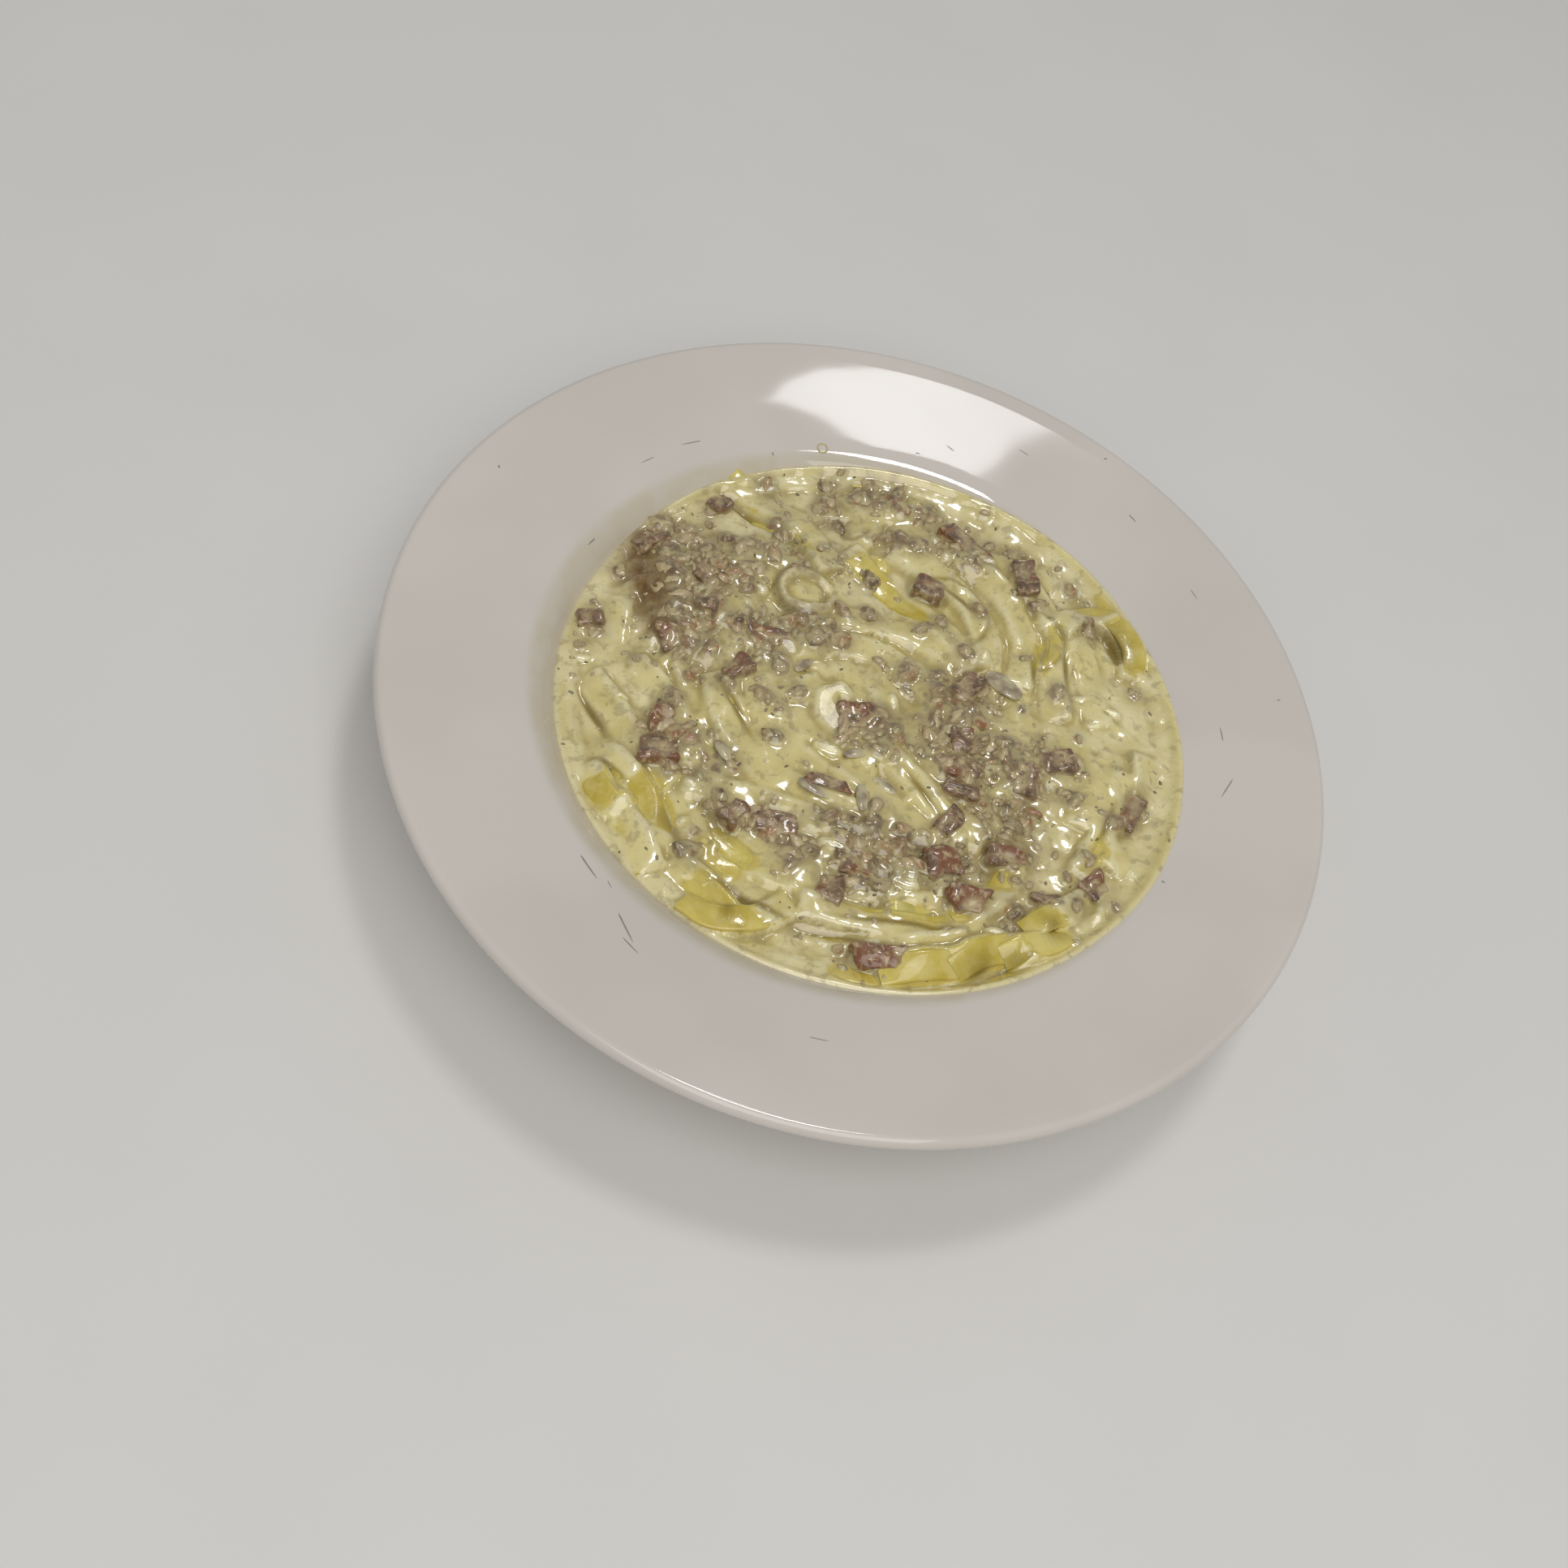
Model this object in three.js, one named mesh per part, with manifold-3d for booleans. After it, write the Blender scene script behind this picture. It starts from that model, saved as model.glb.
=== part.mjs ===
// Carbonara on its plate: a wide-rimmed pasta plate, a heap of ribbon noodles, cream sauce and bacon.
// Millimetres, +Z up. The origin is the centre of the plate's foot, on the table.
import * as THREE from "three";
import { mergeVertices } from "three/addons/utils/BufferGeometryUtils.js";
import Module from "manifold-3d";

const wasm = await Module();
wasm.setup();

// The plate's section
const SEGMENTS = 52;
const LIP_RADIUS = 150;
const PLATE_HEIGHT = 48;
const LIP_ROUND = 2.4;
const RIM_SLOPE = 0.191;
const FLOOR_HEIGHT = 9;
const FLOOR_RADIUS = 52.1;
const WELL_BEND = 53.3;
const WELL_TURN = 1;
const SHOULDER_BEND = 15;
const WALL = 5;
const FOOT_OUTER = 68;
const FOOT_INNER = 62;
const FOOT_CHAMFER = 0.8;
const BEND_STEPS = 7;
const SHOULDER_STEPS = 3;
const LIP_STEPS = 5;

// The food's outline and level
const GAP = 0.3;
const FOOD_X = 4.4;
const FOOD_Y = 2;
const NOODLE_EDGE = 94;
const HEAP_RINGS = 13;
const HEAP_RISE = 2.4;
const HEAP_EDGE_DROP = 1.4;
const RIDGE_WIDTH = 4.2;
const SAUCE_LEVEL = 36.3;
const SAUCE_TILT = 0.0265;
const SAUCE_HIGH_SIDE = 0.42;
const TOOL_TOP = 60;

// Noodles lying proud of the heap: centre x, centre y, radius, first angle, last angle, height
const RIDGES = [
  [-32, 35, 8.5, 40, 400, 2.2],
  [10, 44, 20, 20, 170, 2],
  [42, 48, 16, -70, 100, 2],
  [-46, 74, 20, 200, 330, 1.6],
  [-10, -4, 44, 212, 300, 2],
  [8, 60, 104, 247, 290, 1.8],
  [20, -30, 48, 235, 320, 1.6],
  [62, 66, 13, -40, 130, 1.8],
  [-52, -70, 12, 20, 200, 1.8],
  [-28, 78, 8, 20, 300, 1.6],
  [72, 0, 22, -80, 90, 1.4],
];

// Broad rises: x, y, half width along x, half width along y, height
const RISES = [
  [-62, 18, 26, 30, 4.2],
  [50, -6, 30, 22, 1.6],
  [-15, -66, 16, 9, -2.2],
];

// Bacon: x, y, length, width, thickness, heading in degrees, height of its centre over the heap
const BACON = [
  [11, 80, 19, 8, 5, -25, 0.8],
  [34, 74, 14, 7, 5, -65, 0.8],
  [5, 55, 9, 8, 5, 0, 0.6],
  [29, 21, 11, 9, 5, 70, 0.6],
  [-70, 57, 8, 6, 4, 60, 0.4],
  [-85, 30.5, 10, 8, 5, 70, 0.9],
  [-57, 12, 9, 7, 4, 80, 0.4],
  [-61, 23, 11, 7, 4, 160, 0.4],
  [-36, 10, 14, 6, 5, 10, 0.5],
  [-64, -5, 10, 6, 4, 130, 0.4],
  [-40, -7, 10, 6, 5, 60, 0.4],
  [-55, -34, 11, 6, 4, 100, 0.5],
  [-51, -46, 12, 9, 5, 20, 0.8],
  [-89.5, -7, 8, 7, 4, 30, 0.6],
  [-23, -56, 9, 6, 5, 70, 0.6],
  [-10, -53.5, 13, 7, 5, 15, 0.8],
  [12, -67, 10, 7, 4, 95, 0.8],
  [17, -56, 9, 6, 4, 10, 0.6],
  [38, -31, 11, 6, 4, 70, 0.8],
  [40, -44, 12, 9, 5, 30, 1.2],
  [51, -53, 12, 8, 5, 20, 0.8],
  [73, -43, 11, 4, 4, 10, 0.6],
  [32, -83, 14, 7, 5, 20, 0.6],
  [-1, -35, 14, 4, 4, 5, 0.6],
  [86, -31, 9, 7, 4, 60, 0.5],
  [91, 1, 14, 6, 4, 80, 0.2],
  [2, -5, 15, 8, 5, 25, 1],
  [33, -1, 9, 7, 4, 110, 0.5],
  [35, -12, 12, 6, 4, 10, 0.5],
  [56, -5, 10, 8, 4, 100, 0.5],
  [64, 7, 12, 8, 4, 40, 0.6],
  [38, -19, 10, 5, 4, 10, 0.5],
  [58, -34, 11, 5, 4, 20, 0.5],
];

// A repeatable run of numbers from 0 to 1
function numberRun(seed) {
  let state = seed;
  return () => {
    state = (state * 1664525 + 1013904223) % 4294967296;
    return state / 4294967296;
  };
}

function arcPoints(centreX, centreY, radius, first, last, steps) {
  const points = [];
  for (let i = 0; i <= steps; i += 1) {
    const angle = first + ((last - first) * i) / steps;
    points.push(new THREE.Vector2(centreX + radius * Math.cos(angle), centreY + radius * Math.sin(angle)));
  }
  return points;
}

// Centre of the bend from the well's wall into the rim
const shoulderX = FLOOR_RADIUS + (WELL_BEND + SHOULDER_BEND) * Math.sin(WELL_TURN);
const shoulderZ = FLOOR_HEIGHT + WELL_BEND - (WELL_BEND + SHOULDER_BEND) * Math.cos(WELL_TURN);
const quarter = Math.PI / 2;

// The well's upper surface from the axis to the start of the rim, moved inwards by a gap
function wellLine(gap) {
  const bendZ = FLOOR_HEIGHT + WELL_BEND;
  const wall = arcPoints(FLOOR_RADIUS, bendZ, WELL_BEND - gap, -quarter, WELL_TURN - quarter, BEND_STEPS);
  const turn = quarter + WELL_TURN;
  const rim = quarter + RIM_SLOPE;
  const shoulder = arcPoints(shoulderX, shoulderZ, SHOULDER_BEND + gap, turn, rim, SHOULDER_STEPS);
  return [new THREE.Vector2(0, FLOOR_HEIGHT + gap), ...wall, ...shoulder.slice(1)];
}

function revolve(points) {
  const geometry = new THREE.LatheGeometry(points, SEGMENTS);
  geometry.rotateX(quarter);
  return geometry;
}

function plateGeometry() {
  const lipX = LIP_RADIUS - LIP_ROUND;
  const lipZ = PLATE_HEIGHT - LIP_ROUND;
  const lip = arcPoints(lipX, lipZ, LIP_ROUND, quarter + RIM_SLOPE, RIM_SLOPE - quarter, LIP_STEPS);
  const turn = quarter + WELL_TURN;
  const rim = quarter + RIM_SLOPE;
  const underShoulder = arcPoints(shoulderX, shoulderZ, SHOULDER_BEND - WALL, rim, turn, SHOULDER_STEPS);
  const outer = WELL_BEND + WALL;
  const footTurn = Math.asin((FOOT_OUTER - FLOOR_RADIUS) / outer);
  const bendZ = FLOOR_HEIGHT + WELL_BEND;
  const underWall = arcPoints(FLOOR_RADIUS, bendZ, outer, WELL_TURN - quarter, footTurn - quarter, 4);
  const foot = [
    new THREE.Vector2(FOOT_OUTER - FOOT_CHAMFER, 0),
    new THREE.Vector2(FOOT_INNER + FOOT_CHAMFER, 0),
    new THREE.Vector2(FOOT_INNER, FLOOR_HEIGHT - WALL),
    new THREE.Vector2(0, FLOOR_HEIGHT - WALL),
  ];
  return revolve([...wellLine(0), ...lip, ...underShoulder, ...underWall.slice(1), ...foot].reverse());
}

// Everything that can lie in the well
function wellFillGeometry() {
  const line = wellLine(GAP);
  const last = line[line.length - 1];
  return revolve([...line, new THREE.Vector2(last.x, TOOL_TOP), new THREE.Vector2(0, TOOL_TOP)]);
}

function sauceHeight(x, y) {
  return SAUCE_LEVEL + SAUCE_TILT * (x * Math.cos(SAUCE_HIGH_SIDE) + y * Math.sin(SAUCE_HIGH_SIDE));
}

// The heap's uneven outline, measured from the middle of the food
function noodleEdge(angle) {
  const waves = 0.8 * Math.cos(3 * angle + 1) + 0.7 * Math.cos(7 * angle) + 0.5 * Math.cos(11 * angle + 2);
  const reach = (towards, much) => much * Math.exp(-(((angle - towards) / 0.3) ** 2));
  return NOODLE_EDGE + waves + reach(-0.68, 2.2) + reach(-1.8, 2.2) + reach(0.8, 2.4) + reach(-2.4, 1.6);
}

function ridgeHeight(x, y, [centreX, centreY, radius, first, last, height]) {
  const away = Math.hypot(x - centreX, y - centreY) - radius;
  const middle = (first + last) / 2;
  const half = (last - first) / 2;
  const angle = THREE.MathUtils.radToDeg(Math.atan2(y - centreY, x - centreX));
  const turned = Math.abs(THREE.MathUtils.euclideanModulo(angle - middle + 180, 360) - 180);
  const past = THREE.MathUtils.degToRad(Math.max(0, turned - half)) * radius;
  return height * Math.exp(-((away / RIDGE_WIDTH) ** 2) - (past / RIDGE_WIDTH) ** 2);
}

function riseHeight(x, y, [centreX, centreY, halfX, halfY, height]) {
  return height * Math.exp(-(((x - centreX) / halfX) ** 2) - ((y - centreY) / halfY) ** 2);
}

function heapHeight(x, y) {
  const out = Math.hypot(x - FOOD_X, y - FOOD_Y) / NOODLE_EDGE;
  const dome = HEAP_RISE * (1 - out ** 2) - HEAP_EDGE_DROP * out ** 10;
  const ridges = RIDGES.reduce((sum, ridge) => sum + ridgeHeight(x, y, ridge), 0);
  const rises = RISES.reduce((sum, rise) => sum + riseHeight(x, y, rise), 0);
  return sauceHeight(x, y) + dome + ridges + rises;
}

// A column with the heap's outline, from the table up to a given height at each place
function columnGeometry(grow, rings, heightAt) {
  const positions = [FOOD_X, FOOD_Y, heightAt(FOOD_X, FOOD_Y)];
  const index = [];
  for (let ring = 1; ring <= rings + 1; ring += 1) {
    for (let i = 0; i < SEGMENTS; i += 1) {
      const angle = -Math.PI + (2 * Math.PI * i) / SEGMENTS;
      const radius = ((noodleEdge(angle) + grow) * Math.min(ring, rings)) / rings;
      const x = FOOD_X + radius * Math.cos(angle);
      const y = FOOD_Y + radius * Math.sin(angle);
      positions.push(x, y, ring > rings ? 0 : heightAt(x, y));
    }
  }
  const base = positions.length / 3;
  positions.push(FOOD_X, FOOD_Y, 0);
  for (let i = 0; i < SEGMENTS; i += 1) {
    const next = (i + 1) % SEGMENTS;
    index.push(0, 1 + i, 1 + next);
    for (let ring = 0; ring < rings; ring += 1) {
      const inner = 1 + ring * SEGMENTS;
      const outer = inner + SEGMENTS;
      index.push(inner + i, outer + i, outer + next);
      index.push(inner + i, outer + next, inner + next);
    }
    const bottom = 1 + rings * SEGMENTS;
    index.push(base, bottom + next, bottom + i);
  }
  const geometry = new THREE.BufferGeometry();
  geometry.setAttribute("position", new THREE.Float32BufferAttribute(positions, 3));
  geometry.setIndex(index);
  return geometry;
}

// A torn cube of bacon with rounded corners; grow widens it all round for its bed in the food
function baconGeometry([x, y, length, width, thickness, heading, lift], seed, grow) {
  const geometry = new THREE.BoxGeometry(1, 1, 1, 2, 2, 2);
  geometry.deleteAttribute("normal");
  geometry.deleteAttribute("uv");
  const merged = mergeVertices(geometry);
  const random = numberRun(seed);
  const position = merged.getAttribute("position");
  const point = new THREE.Vector3();
  for (let i = 0; i < position.count; i += 1) {
    point.fromBufferAttribute(position, i);
    const corner = 0.5 / point.length();
    point.multiplyScalar((0.45 + 0.55 * corner) * (0.92 + 0.2 * random()));
    position.setXYZ(i, point.x, point.y, point.z);
  }
  merged.scale(length + grow * 2, width + grow * 2, thickness + grow * 2);
  merged.rotateX((random() - 0.5) * 0.3);
  merged.rotateY((random() - 0.5) * 0.2);
  merged.rotateZ(THREE.MathUtils.degToRad(heading));
  merged.translate(x, y, heapHeight(x, y) + lift);
  return merged;
}

function lidGeometry() {
  const geometry = new THREE.BoxGeometry(260, 260, TOOL_TOP);
  geometry.translate(0, 0, -TOOL_TOP / 2);
  geometry.rotateY(-Math.atan(SAUCE_TILT));
  geometry.rotateZ(SAUCE_HIGH_SIDE);
  geometry.translate(0, 0, SAUCE_LEVEL);
  return geometry;
}

function toSolid(source) {
  const geometry = source.clone();
  geometry.deleteAttribute("normal");
  geometry.deleteAttribute("uv");
  const merged = mergeVertices(geometry, 1e-5);
  const vertProperties = new Float32Array(merged.getAttribute("position").array);
  const triVerts = new Uint32Array(merged.getIndex().array);
  return new wasm.Manifold(new wasm.Mesh({ numProp: 3, vertProperties, triVerts }));
}

function toGeometry(solid) {
  const mesh = solid.getMesh();
  const geometry = new THREE.BufferGeometry();
  geometry.setAttribute("position", new THREE.Float32BufferAttribute(mesh.vertProperties, 3));
  geometry.setIndex(Array.from(mesh.triVerts));
  geometry.computeVertexNormals();
  return geometry;
}

function material(name, color, roughness) {
  return new THREE.MeshStandardMaterial({ name, color, roughness, metalness: 0 });
}

const porcelain = material("porcelain", 0xe9e6df, 0.2);
const pasta = material("pasta", 0xd9c878, 0.4);
const cream = material("cream", 0xe2d9ac, 0.3);
const bacon = material("bacon", 0x7a5545, 0.45);

const group = new THREE.Group();
group.name = "carbonara_plate";

function addPart(name, geometry, surface) {
  const mesh = new THREE.Mesh(geometry, surface);
  mesh.name = name;
  group.add(mesh);
}

// Each piece of bacon lies in its own bed, cut a little wider than the piece
const beds = BACON.map((piece, i) => toSolid(baconGeometry(piece, i + 1, GAP * 1.3)));
const wellFill = toSolid(wellFillGeometry());
let noodles = toSolid(columnGeometry(0, HEAP_RINGS, heapHeight)).intersect(wellFill);
const heapTool = toSolid(columnGeometry(GAP, 1, () => TOOL_TOP));
let sauce = wellFill.intersect(toSolid(lidGeometry())).subtract(heapTool);
for (const bed of beds) {
  noodles = noodles.subtract(bed);
  sauce = sauce.subtract(bed);
}

addPart("plate", plateGeometry(), porcelain);
addPart("noodles", toGeometry(noodles), pasta);
addPart("sauce", toGeometry(sauce), cream);
BACON.forEach((piece, i) => {
  const name = `bacon_${String(i + 1).padStart(2, "0")}`;
  addPart(name, baconGeometry(piece, i + 1, 0), bacon);
});

export default group;
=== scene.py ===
# %% [markdown]
# # Carbonara on its plate
# A wide-rimmed porcelain plate holds ribbon noodles that are coated and half drowned in cream sauce, with
# bits of browned bacon all over. This lesson builds it in the order in which a cook would: the plate
# first, then the noodles, the bacon, the cream that runs over both, and at last the fine crumbs on top.
# All sizes are in millimetres and are turned into metres by `MM` where the scene needs them.

# %% Load the frame
import math
import random
import bpy
import numpy as np
from mathutils import Matrix, Vector


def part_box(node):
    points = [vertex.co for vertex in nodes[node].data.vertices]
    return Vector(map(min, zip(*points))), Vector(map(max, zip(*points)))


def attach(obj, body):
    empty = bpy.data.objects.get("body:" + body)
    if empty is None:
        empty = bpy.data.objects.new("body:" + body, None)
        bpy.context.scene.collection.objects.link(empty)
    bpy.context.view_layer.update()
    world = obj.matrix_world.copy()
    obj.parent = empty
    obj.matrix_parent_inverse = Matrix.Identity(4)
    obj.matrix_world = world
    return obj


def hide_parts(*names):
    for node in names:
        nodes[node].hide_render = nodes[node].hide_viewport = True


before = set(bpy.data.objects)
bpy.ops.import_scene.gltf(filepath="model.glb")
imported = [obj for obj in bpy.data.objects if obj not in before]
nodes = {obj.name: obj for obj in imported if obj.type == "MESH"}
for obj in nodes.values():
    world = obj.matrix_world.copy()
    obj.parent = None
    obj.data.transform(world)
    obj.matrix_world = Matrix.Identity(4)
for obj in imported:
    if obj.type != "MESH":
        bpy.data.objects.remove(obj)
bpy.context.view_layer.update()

MM = 0.001
plate_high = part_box("plate")[1]
LIP_RADIUS = plate_high.x / MM
PLATE_HEIGHT = plate_high.z / MM
bacon_names = sorted(name for name in nodes if name.startswith("bacon"))
print("plate", round(LIP_RADIUS, 1), "by", round(PLATE_HEIGHT, 1), "mm,", len(bacon_names), "pieces of bacon")

# %% [markdown]
# ## Small helpers
# An operator acts on everything that is selected, so each step starts with nothing selected. A finished
# piece keeps its place in its mesh and its object stays at the origin.

# %% Selecting and finishing
def deselect():
    if bpy.context.object and bpy.context.object.mode != "OBJECT":
        bpy.ops.object.mode_set(mode="OBJECT")
    bpy.ops.object.select_all(action="DESELECT")


def choose(piece):
    deselect()
    piece.select_set(True)
    bpy.context.view_layer.objects.active = piece


def added(name):
    piece = bpy.context.object
    piece.name = name
    piece.data.name = name
    return piece


def settle(piece):
    choose(piece)
    bpy.ops.object.transform_apply(location=True, rotation=True, scale=True)


def apply_all(piece):
    choose(piece)
    for modifier in list(piece.modifiers):
        bpy.ops.object.modifier_apply(modifier=modifier.name)


def close_shell(piece, distance=0.01 * MM):
    choose(piece)
    bpy.ops.object.mode_set(mode="EDIT")
    bpy.ops.mesh.select_all(action="SELECT")
    bpy.ops.mesh.remove_doubles(threshold=distance)
    bpy.ops.mesh.normals_make_consistent(inside=False)
    bpy.ops.object.mode_set(mode="OBJECT")


def smooth_shade(piece, degrees=50):
    choose(piece)
    bpy.ops.object.shade_smooth_by_angle(angle=math.radians(degrees))


def triangles(piece):
    return sum(len(face.vertices) - 2 for face in piece.data.polygons)


def mesh_from(name, points, faces):
    mesh = bpy.data.meshes.new(name)
    mesh.from_pydata(points, [], faces)
    mesh.update()
    piece = bpy.data.objects.new(name, mesh)
    bpy.context.scene.collection.objects.link(piece)
    return piece


def points_of(piece):
    """The piece's points in millimetres, one row each."""
    return np.array([vertex.co for vertex in piece.data.vertices]) / MM


def paint(piece, name, values):
    layer = piece.data.attributes.new(name, "FLOAT", "POINT")
    layer.data.foreach_set("value", np.asarray(values, dtype=np.float32))


# %% [markdown]
# ## Helpers for finishes
# Every finish is a Principled shader fed by noise on Object coordinates, so that a pattern keeps its true
# size on each piece. `Finish` wires the few nodes that all of them share.

# %% A small wiring kit
def colour(red, green, blue):
    """A colour as seen on a screen, from 0 to 255, as the linear values that a shader takes."""
    linear = []
    for value in (red, green, blue):
        share = value / 255
        linear.append(share / 12.92 if share <= 0.04045 else ((share + 0.055) / 1.055) ** 2.4)
    return (*linear, 1.0)


class Finish:
    def __init__(self, name, **sockets):
        self.material = bpy.data.materials.new(name)
        self.material.use_nodes = True
        self.tree = self.material.node_tree
        self.shader = self.tree.nodes["Principled BSDF"]
        for socket, value in sockets.items():
            self.shader.inputs[socket.replace("_", " ")].default_value = value
        self.place = self.add("ShaderNodeTexCoord").outputs["Object"]

    def add(self, kind, **settings):
        node = self.tree.nodes.new(kind)
        for key, value in settings.items():
            setattr(node, key, value)
        return node

    def join(self, source, target):
        if isinstance(source, (int, float, tuple)):
            target.default_value = source
        else:
            self.tree.links.new(source, target)

    def noise(self, size_mm, detail=2.0, rough=0.5, warp=0.0):
        node = self.add("ShaderNodeTexNoise")
        node.inputs["Scale"].default_value = 1 / (size_mm * MM)
        node.inputs["Detail"].default_value = detail
        node.inputs["Roughness"].default_value = rough
        node.inputs["Distortion"].default_value = warp
        self.join(self.place, node.inputs["Vector"])
        return node.outputs["Fac"]

    def cells(self, size_mm, feature="F1"):
        node = self.add("ShaderNodeTexVoronoi", feature=feature)
        node.inputs["Scale"].default_value = 1 / (size_mm * MM)
        self.join(self.place, node.inputs["Vector"])
        return node.outputs["Distance"]

    def attribute(self, name):
        return self.add("ShaderNodeAttribute", attribute_name=name).outputs["Fac"]

    def span(self, value, low, high, first=0.0, last=1.0):
        node = self.add("ShaderNodeMapRange", interpolation_type="SMOOTHSTEP")
        self.join(value, node.inputs["Value"])
        for socket, number in (("From Min", low), ("From Max", high), ("To Min", first), ("To Max", last)):
            node.inputs[socket].default_value = number
        return node.outputs["Result"]

    def math(self, operation, first, second):
        node = self.add("ShaderNodeMath", operation=operation)
        self.join(first, node.inputs[0])
        self.join(second, node.inputs[1])
        return node.outputs["Value"]

    def part(self, name, share):
        """A painted attribute times a share, which may be a number or another value of the finish."""
        return self.math("MULTIPLY", self.attribute(name), share)

    def mix(self, share, first, second):
        node = self.add("ShaderNodeMix", data_type="RGBA")
        self.join(share, node.inputs[0])
        self.join(first, node.inputs[6])
        self.join(second, node.inputs[7])
        return node.outputs[2]

    def bump(self, height, depth_mm, under=None):
        node = self.add("ShaderNodeBump")
        node.inputs["Distance"].default_value = depth_mm * MM
        self.join(height, node.inputs["Height"])
        if under is not None:
            self.join(under, node.inputs["Normal"])
        self.join(node.outputs["Normal"], self.shader.inputs["Normal"])
        return node.outputs["Normal"]

    def feed(self, **sockets):
        for socket, source in sockets.items():
            self.join(source, self.shader.inputs[socket.replace("_", " ")])


# %% [markdown]
# ## The plate
# A pasta plate is thrown or pressed as one turned shape, so its half section is drawn once and spun round
# the axis. The section is drawn as by hand: one point is extruded step by step along the floor, up the
# curved wall, over the soft shoulder, out along the rim, round the lip and back underneath to the foot.

# %% The plate's section
LIP_ROUND = 2.4
RIM_SLOPE = 0.191
FLOOR_HEIGHT = 9.0
FLOOR_RADIUS = 52.1
WELL_BEND = 53.3
WELL_TURN = 1.0
SHOULDER_BEND = 15.0
WALL = 5.0
FOOT_OUTER = 68.0
FOOT_INNER = 62.0
FOOT_ROUND = 0.8
SPIN_STEPS = 192
QUARTER = math.pi / 2
BEND_HEIGHT = FLOOR_HEIGHT + WELL_BEND
shoulder_x = FLOOR_RADIUS + (WELL_BEND + SHOULDER_BEND) * math.sin(WELL_TURN)
shoulder_z = BEND_HEIGHT - (WELL_BEND + SHOULDER_BEND) * math.cos(WELL_TURN)


def arc(centre_x, centre_z, radius, first, last, steps):
    turns = [first + (last - first) * i / steps for i in range(steps + 1)]
    return [(centre_x + radius * math.cos(turn), centre_z + radius * math.sin(turn)) for turn in turns]


def plate_section():
    line = [(0, FLOOR_HEIGHT), (18, FLOOR_HEIGHT), (36, FLOOR_HEIGHT)]
    line += arc(FLOOR_RADIUS, BEND_HEIGHT, WELL_BEND, -QUARTER, WELL_TURN - QUARTER, 22)
    line += arc(shoulder_x, shoulder_z, SHOULDER_BEND, QUARTER + WELL_TURN, QUARTER + RIM_SLOPE, 14)[1:]
    rim_start = line[-1]
    lip_x, lip_z = LIP_RADIUS - LIP_ROUND, PLATE_HEIGHT - LIP_ROUND
    lip = arc(lip_x, lip_z, LIP_ROUND, QUARTER + RIM_SLOPE, RIM_SLOPE - QUARTER, 14)
    for i in range(1, 8):
        share = i / 8
        line.append(tuple(a + (b - a) * share for a, b in zip(rim_start, lip[0])))
    line += lip
    line += arc(shoulder_x, shoulder_z, SHOULDER_BEND - WALL, QUARTER + RIM_SLOPE, QUARTER + WELL_TURN, 8)
    foot_turn = math.asin((FOOT_OUTER - FLOOR_RADIUS) / (WELL_BEND + WALL))
    line += arc(FLOOR_RADIUS, BEND_HEIGHT, WELL_BEND + WALL, WELL_TURN - QUARTER, foot_turn - QUARTER, 12)[1:]
    line += arc(FOOT_OUTER - FOOT_ROUND, FOOT_ROUND, FOOT_ROUND, 0, -QUARTER, 4)
    line += arc(FOOT_INNER + FOOT_ROUND, FOOT_ROUND, FOOT_ROUND, -QUARTER, -2 * QUARTER, 4)
    return line + [(FOOT_INNER, FLOOR_HEIGHT - WALL), (0, FLOOR_HEIGHT - WALL)]


# %% Spin the plate
def spun_plate():
    deselect()
    bpy.ops.mesh.primitive_plane_add(size=2 * MM)
    plate = added("porcelain_plate")
    bpy.ops.object.mode_set(mode="EDIT")
    bpy.ops.mesh.select_mode(type="VERT")
    bpy.ops.mesh.select_all(action="SELECT")
    bpy.ops.mesh.merge(type="CENTER")
    section = plate_section()
    here = (0, 0)
    for number, there in enumerate(section):
        step = ((there[0] - here[0]) * MM, 0, (there[1] - here[1]) * MM)
        if number == 0:
            bpy.ops.transform.translate(value=step)
        else:
            bpy.ops.mesh.extrude_region_move(TRANSFORM_OT_translate={"value": step})
        here = there
    bpy.ops.mesh.select_all(action="SELECT")
    bpy.ops.mesh.spin(steps=SPIN_STEPS, angle=2 * math.pi, center=(0, 0, 0), axis=(0, 0, 1))
    bpy.ops.object.mode_set(mode="OBJECT")
    close_shell(plate)
    smooth_shade(plate, 60)
    return plate


plate = spun_plate()
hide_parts("plate")
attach(plate, "root")
print("plate:", triangles(plate), "triangles")

# %% [markdown]
# ## A height map to lay things on
# Noodles, bacon and cream all settle on what lies below them. A square map of heights over the plate makes
# that simple: each thing reads the map where it lies and then raises it by its own thickness. Two numbers
# describe the map, the size of its cells and how far it reaches from the axis.

# %% The map and its tools
CELL = 0.5
REACH = 112.0
COUNT = int(2 * REACH / CELL) + 1
axis_line = np.linspace(-REACH, REACH, COUNT)
MAP_X, MAP_Y = np.meshgrid(axis_line, axis_line)


def read(field, x, y):
    across = np.clip((np.asarray(x) + REACH) / CELL, 0, COUNT - 1.001)
    along = np.clip((np.asarray(y) + REACH) / CELL, 0, COUNT - 1.001)
    i = across.astype(int)
    j = along.astype(int)
    u = across - i
    v = along - j
    near = field[j, i] * (1 - u) + field[j, i + 1] * u
    far = field[j + 1, i] * (1 - u) + field[j + 1, i + 1] * u
    return near * (1 - v) + far * v


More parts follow.
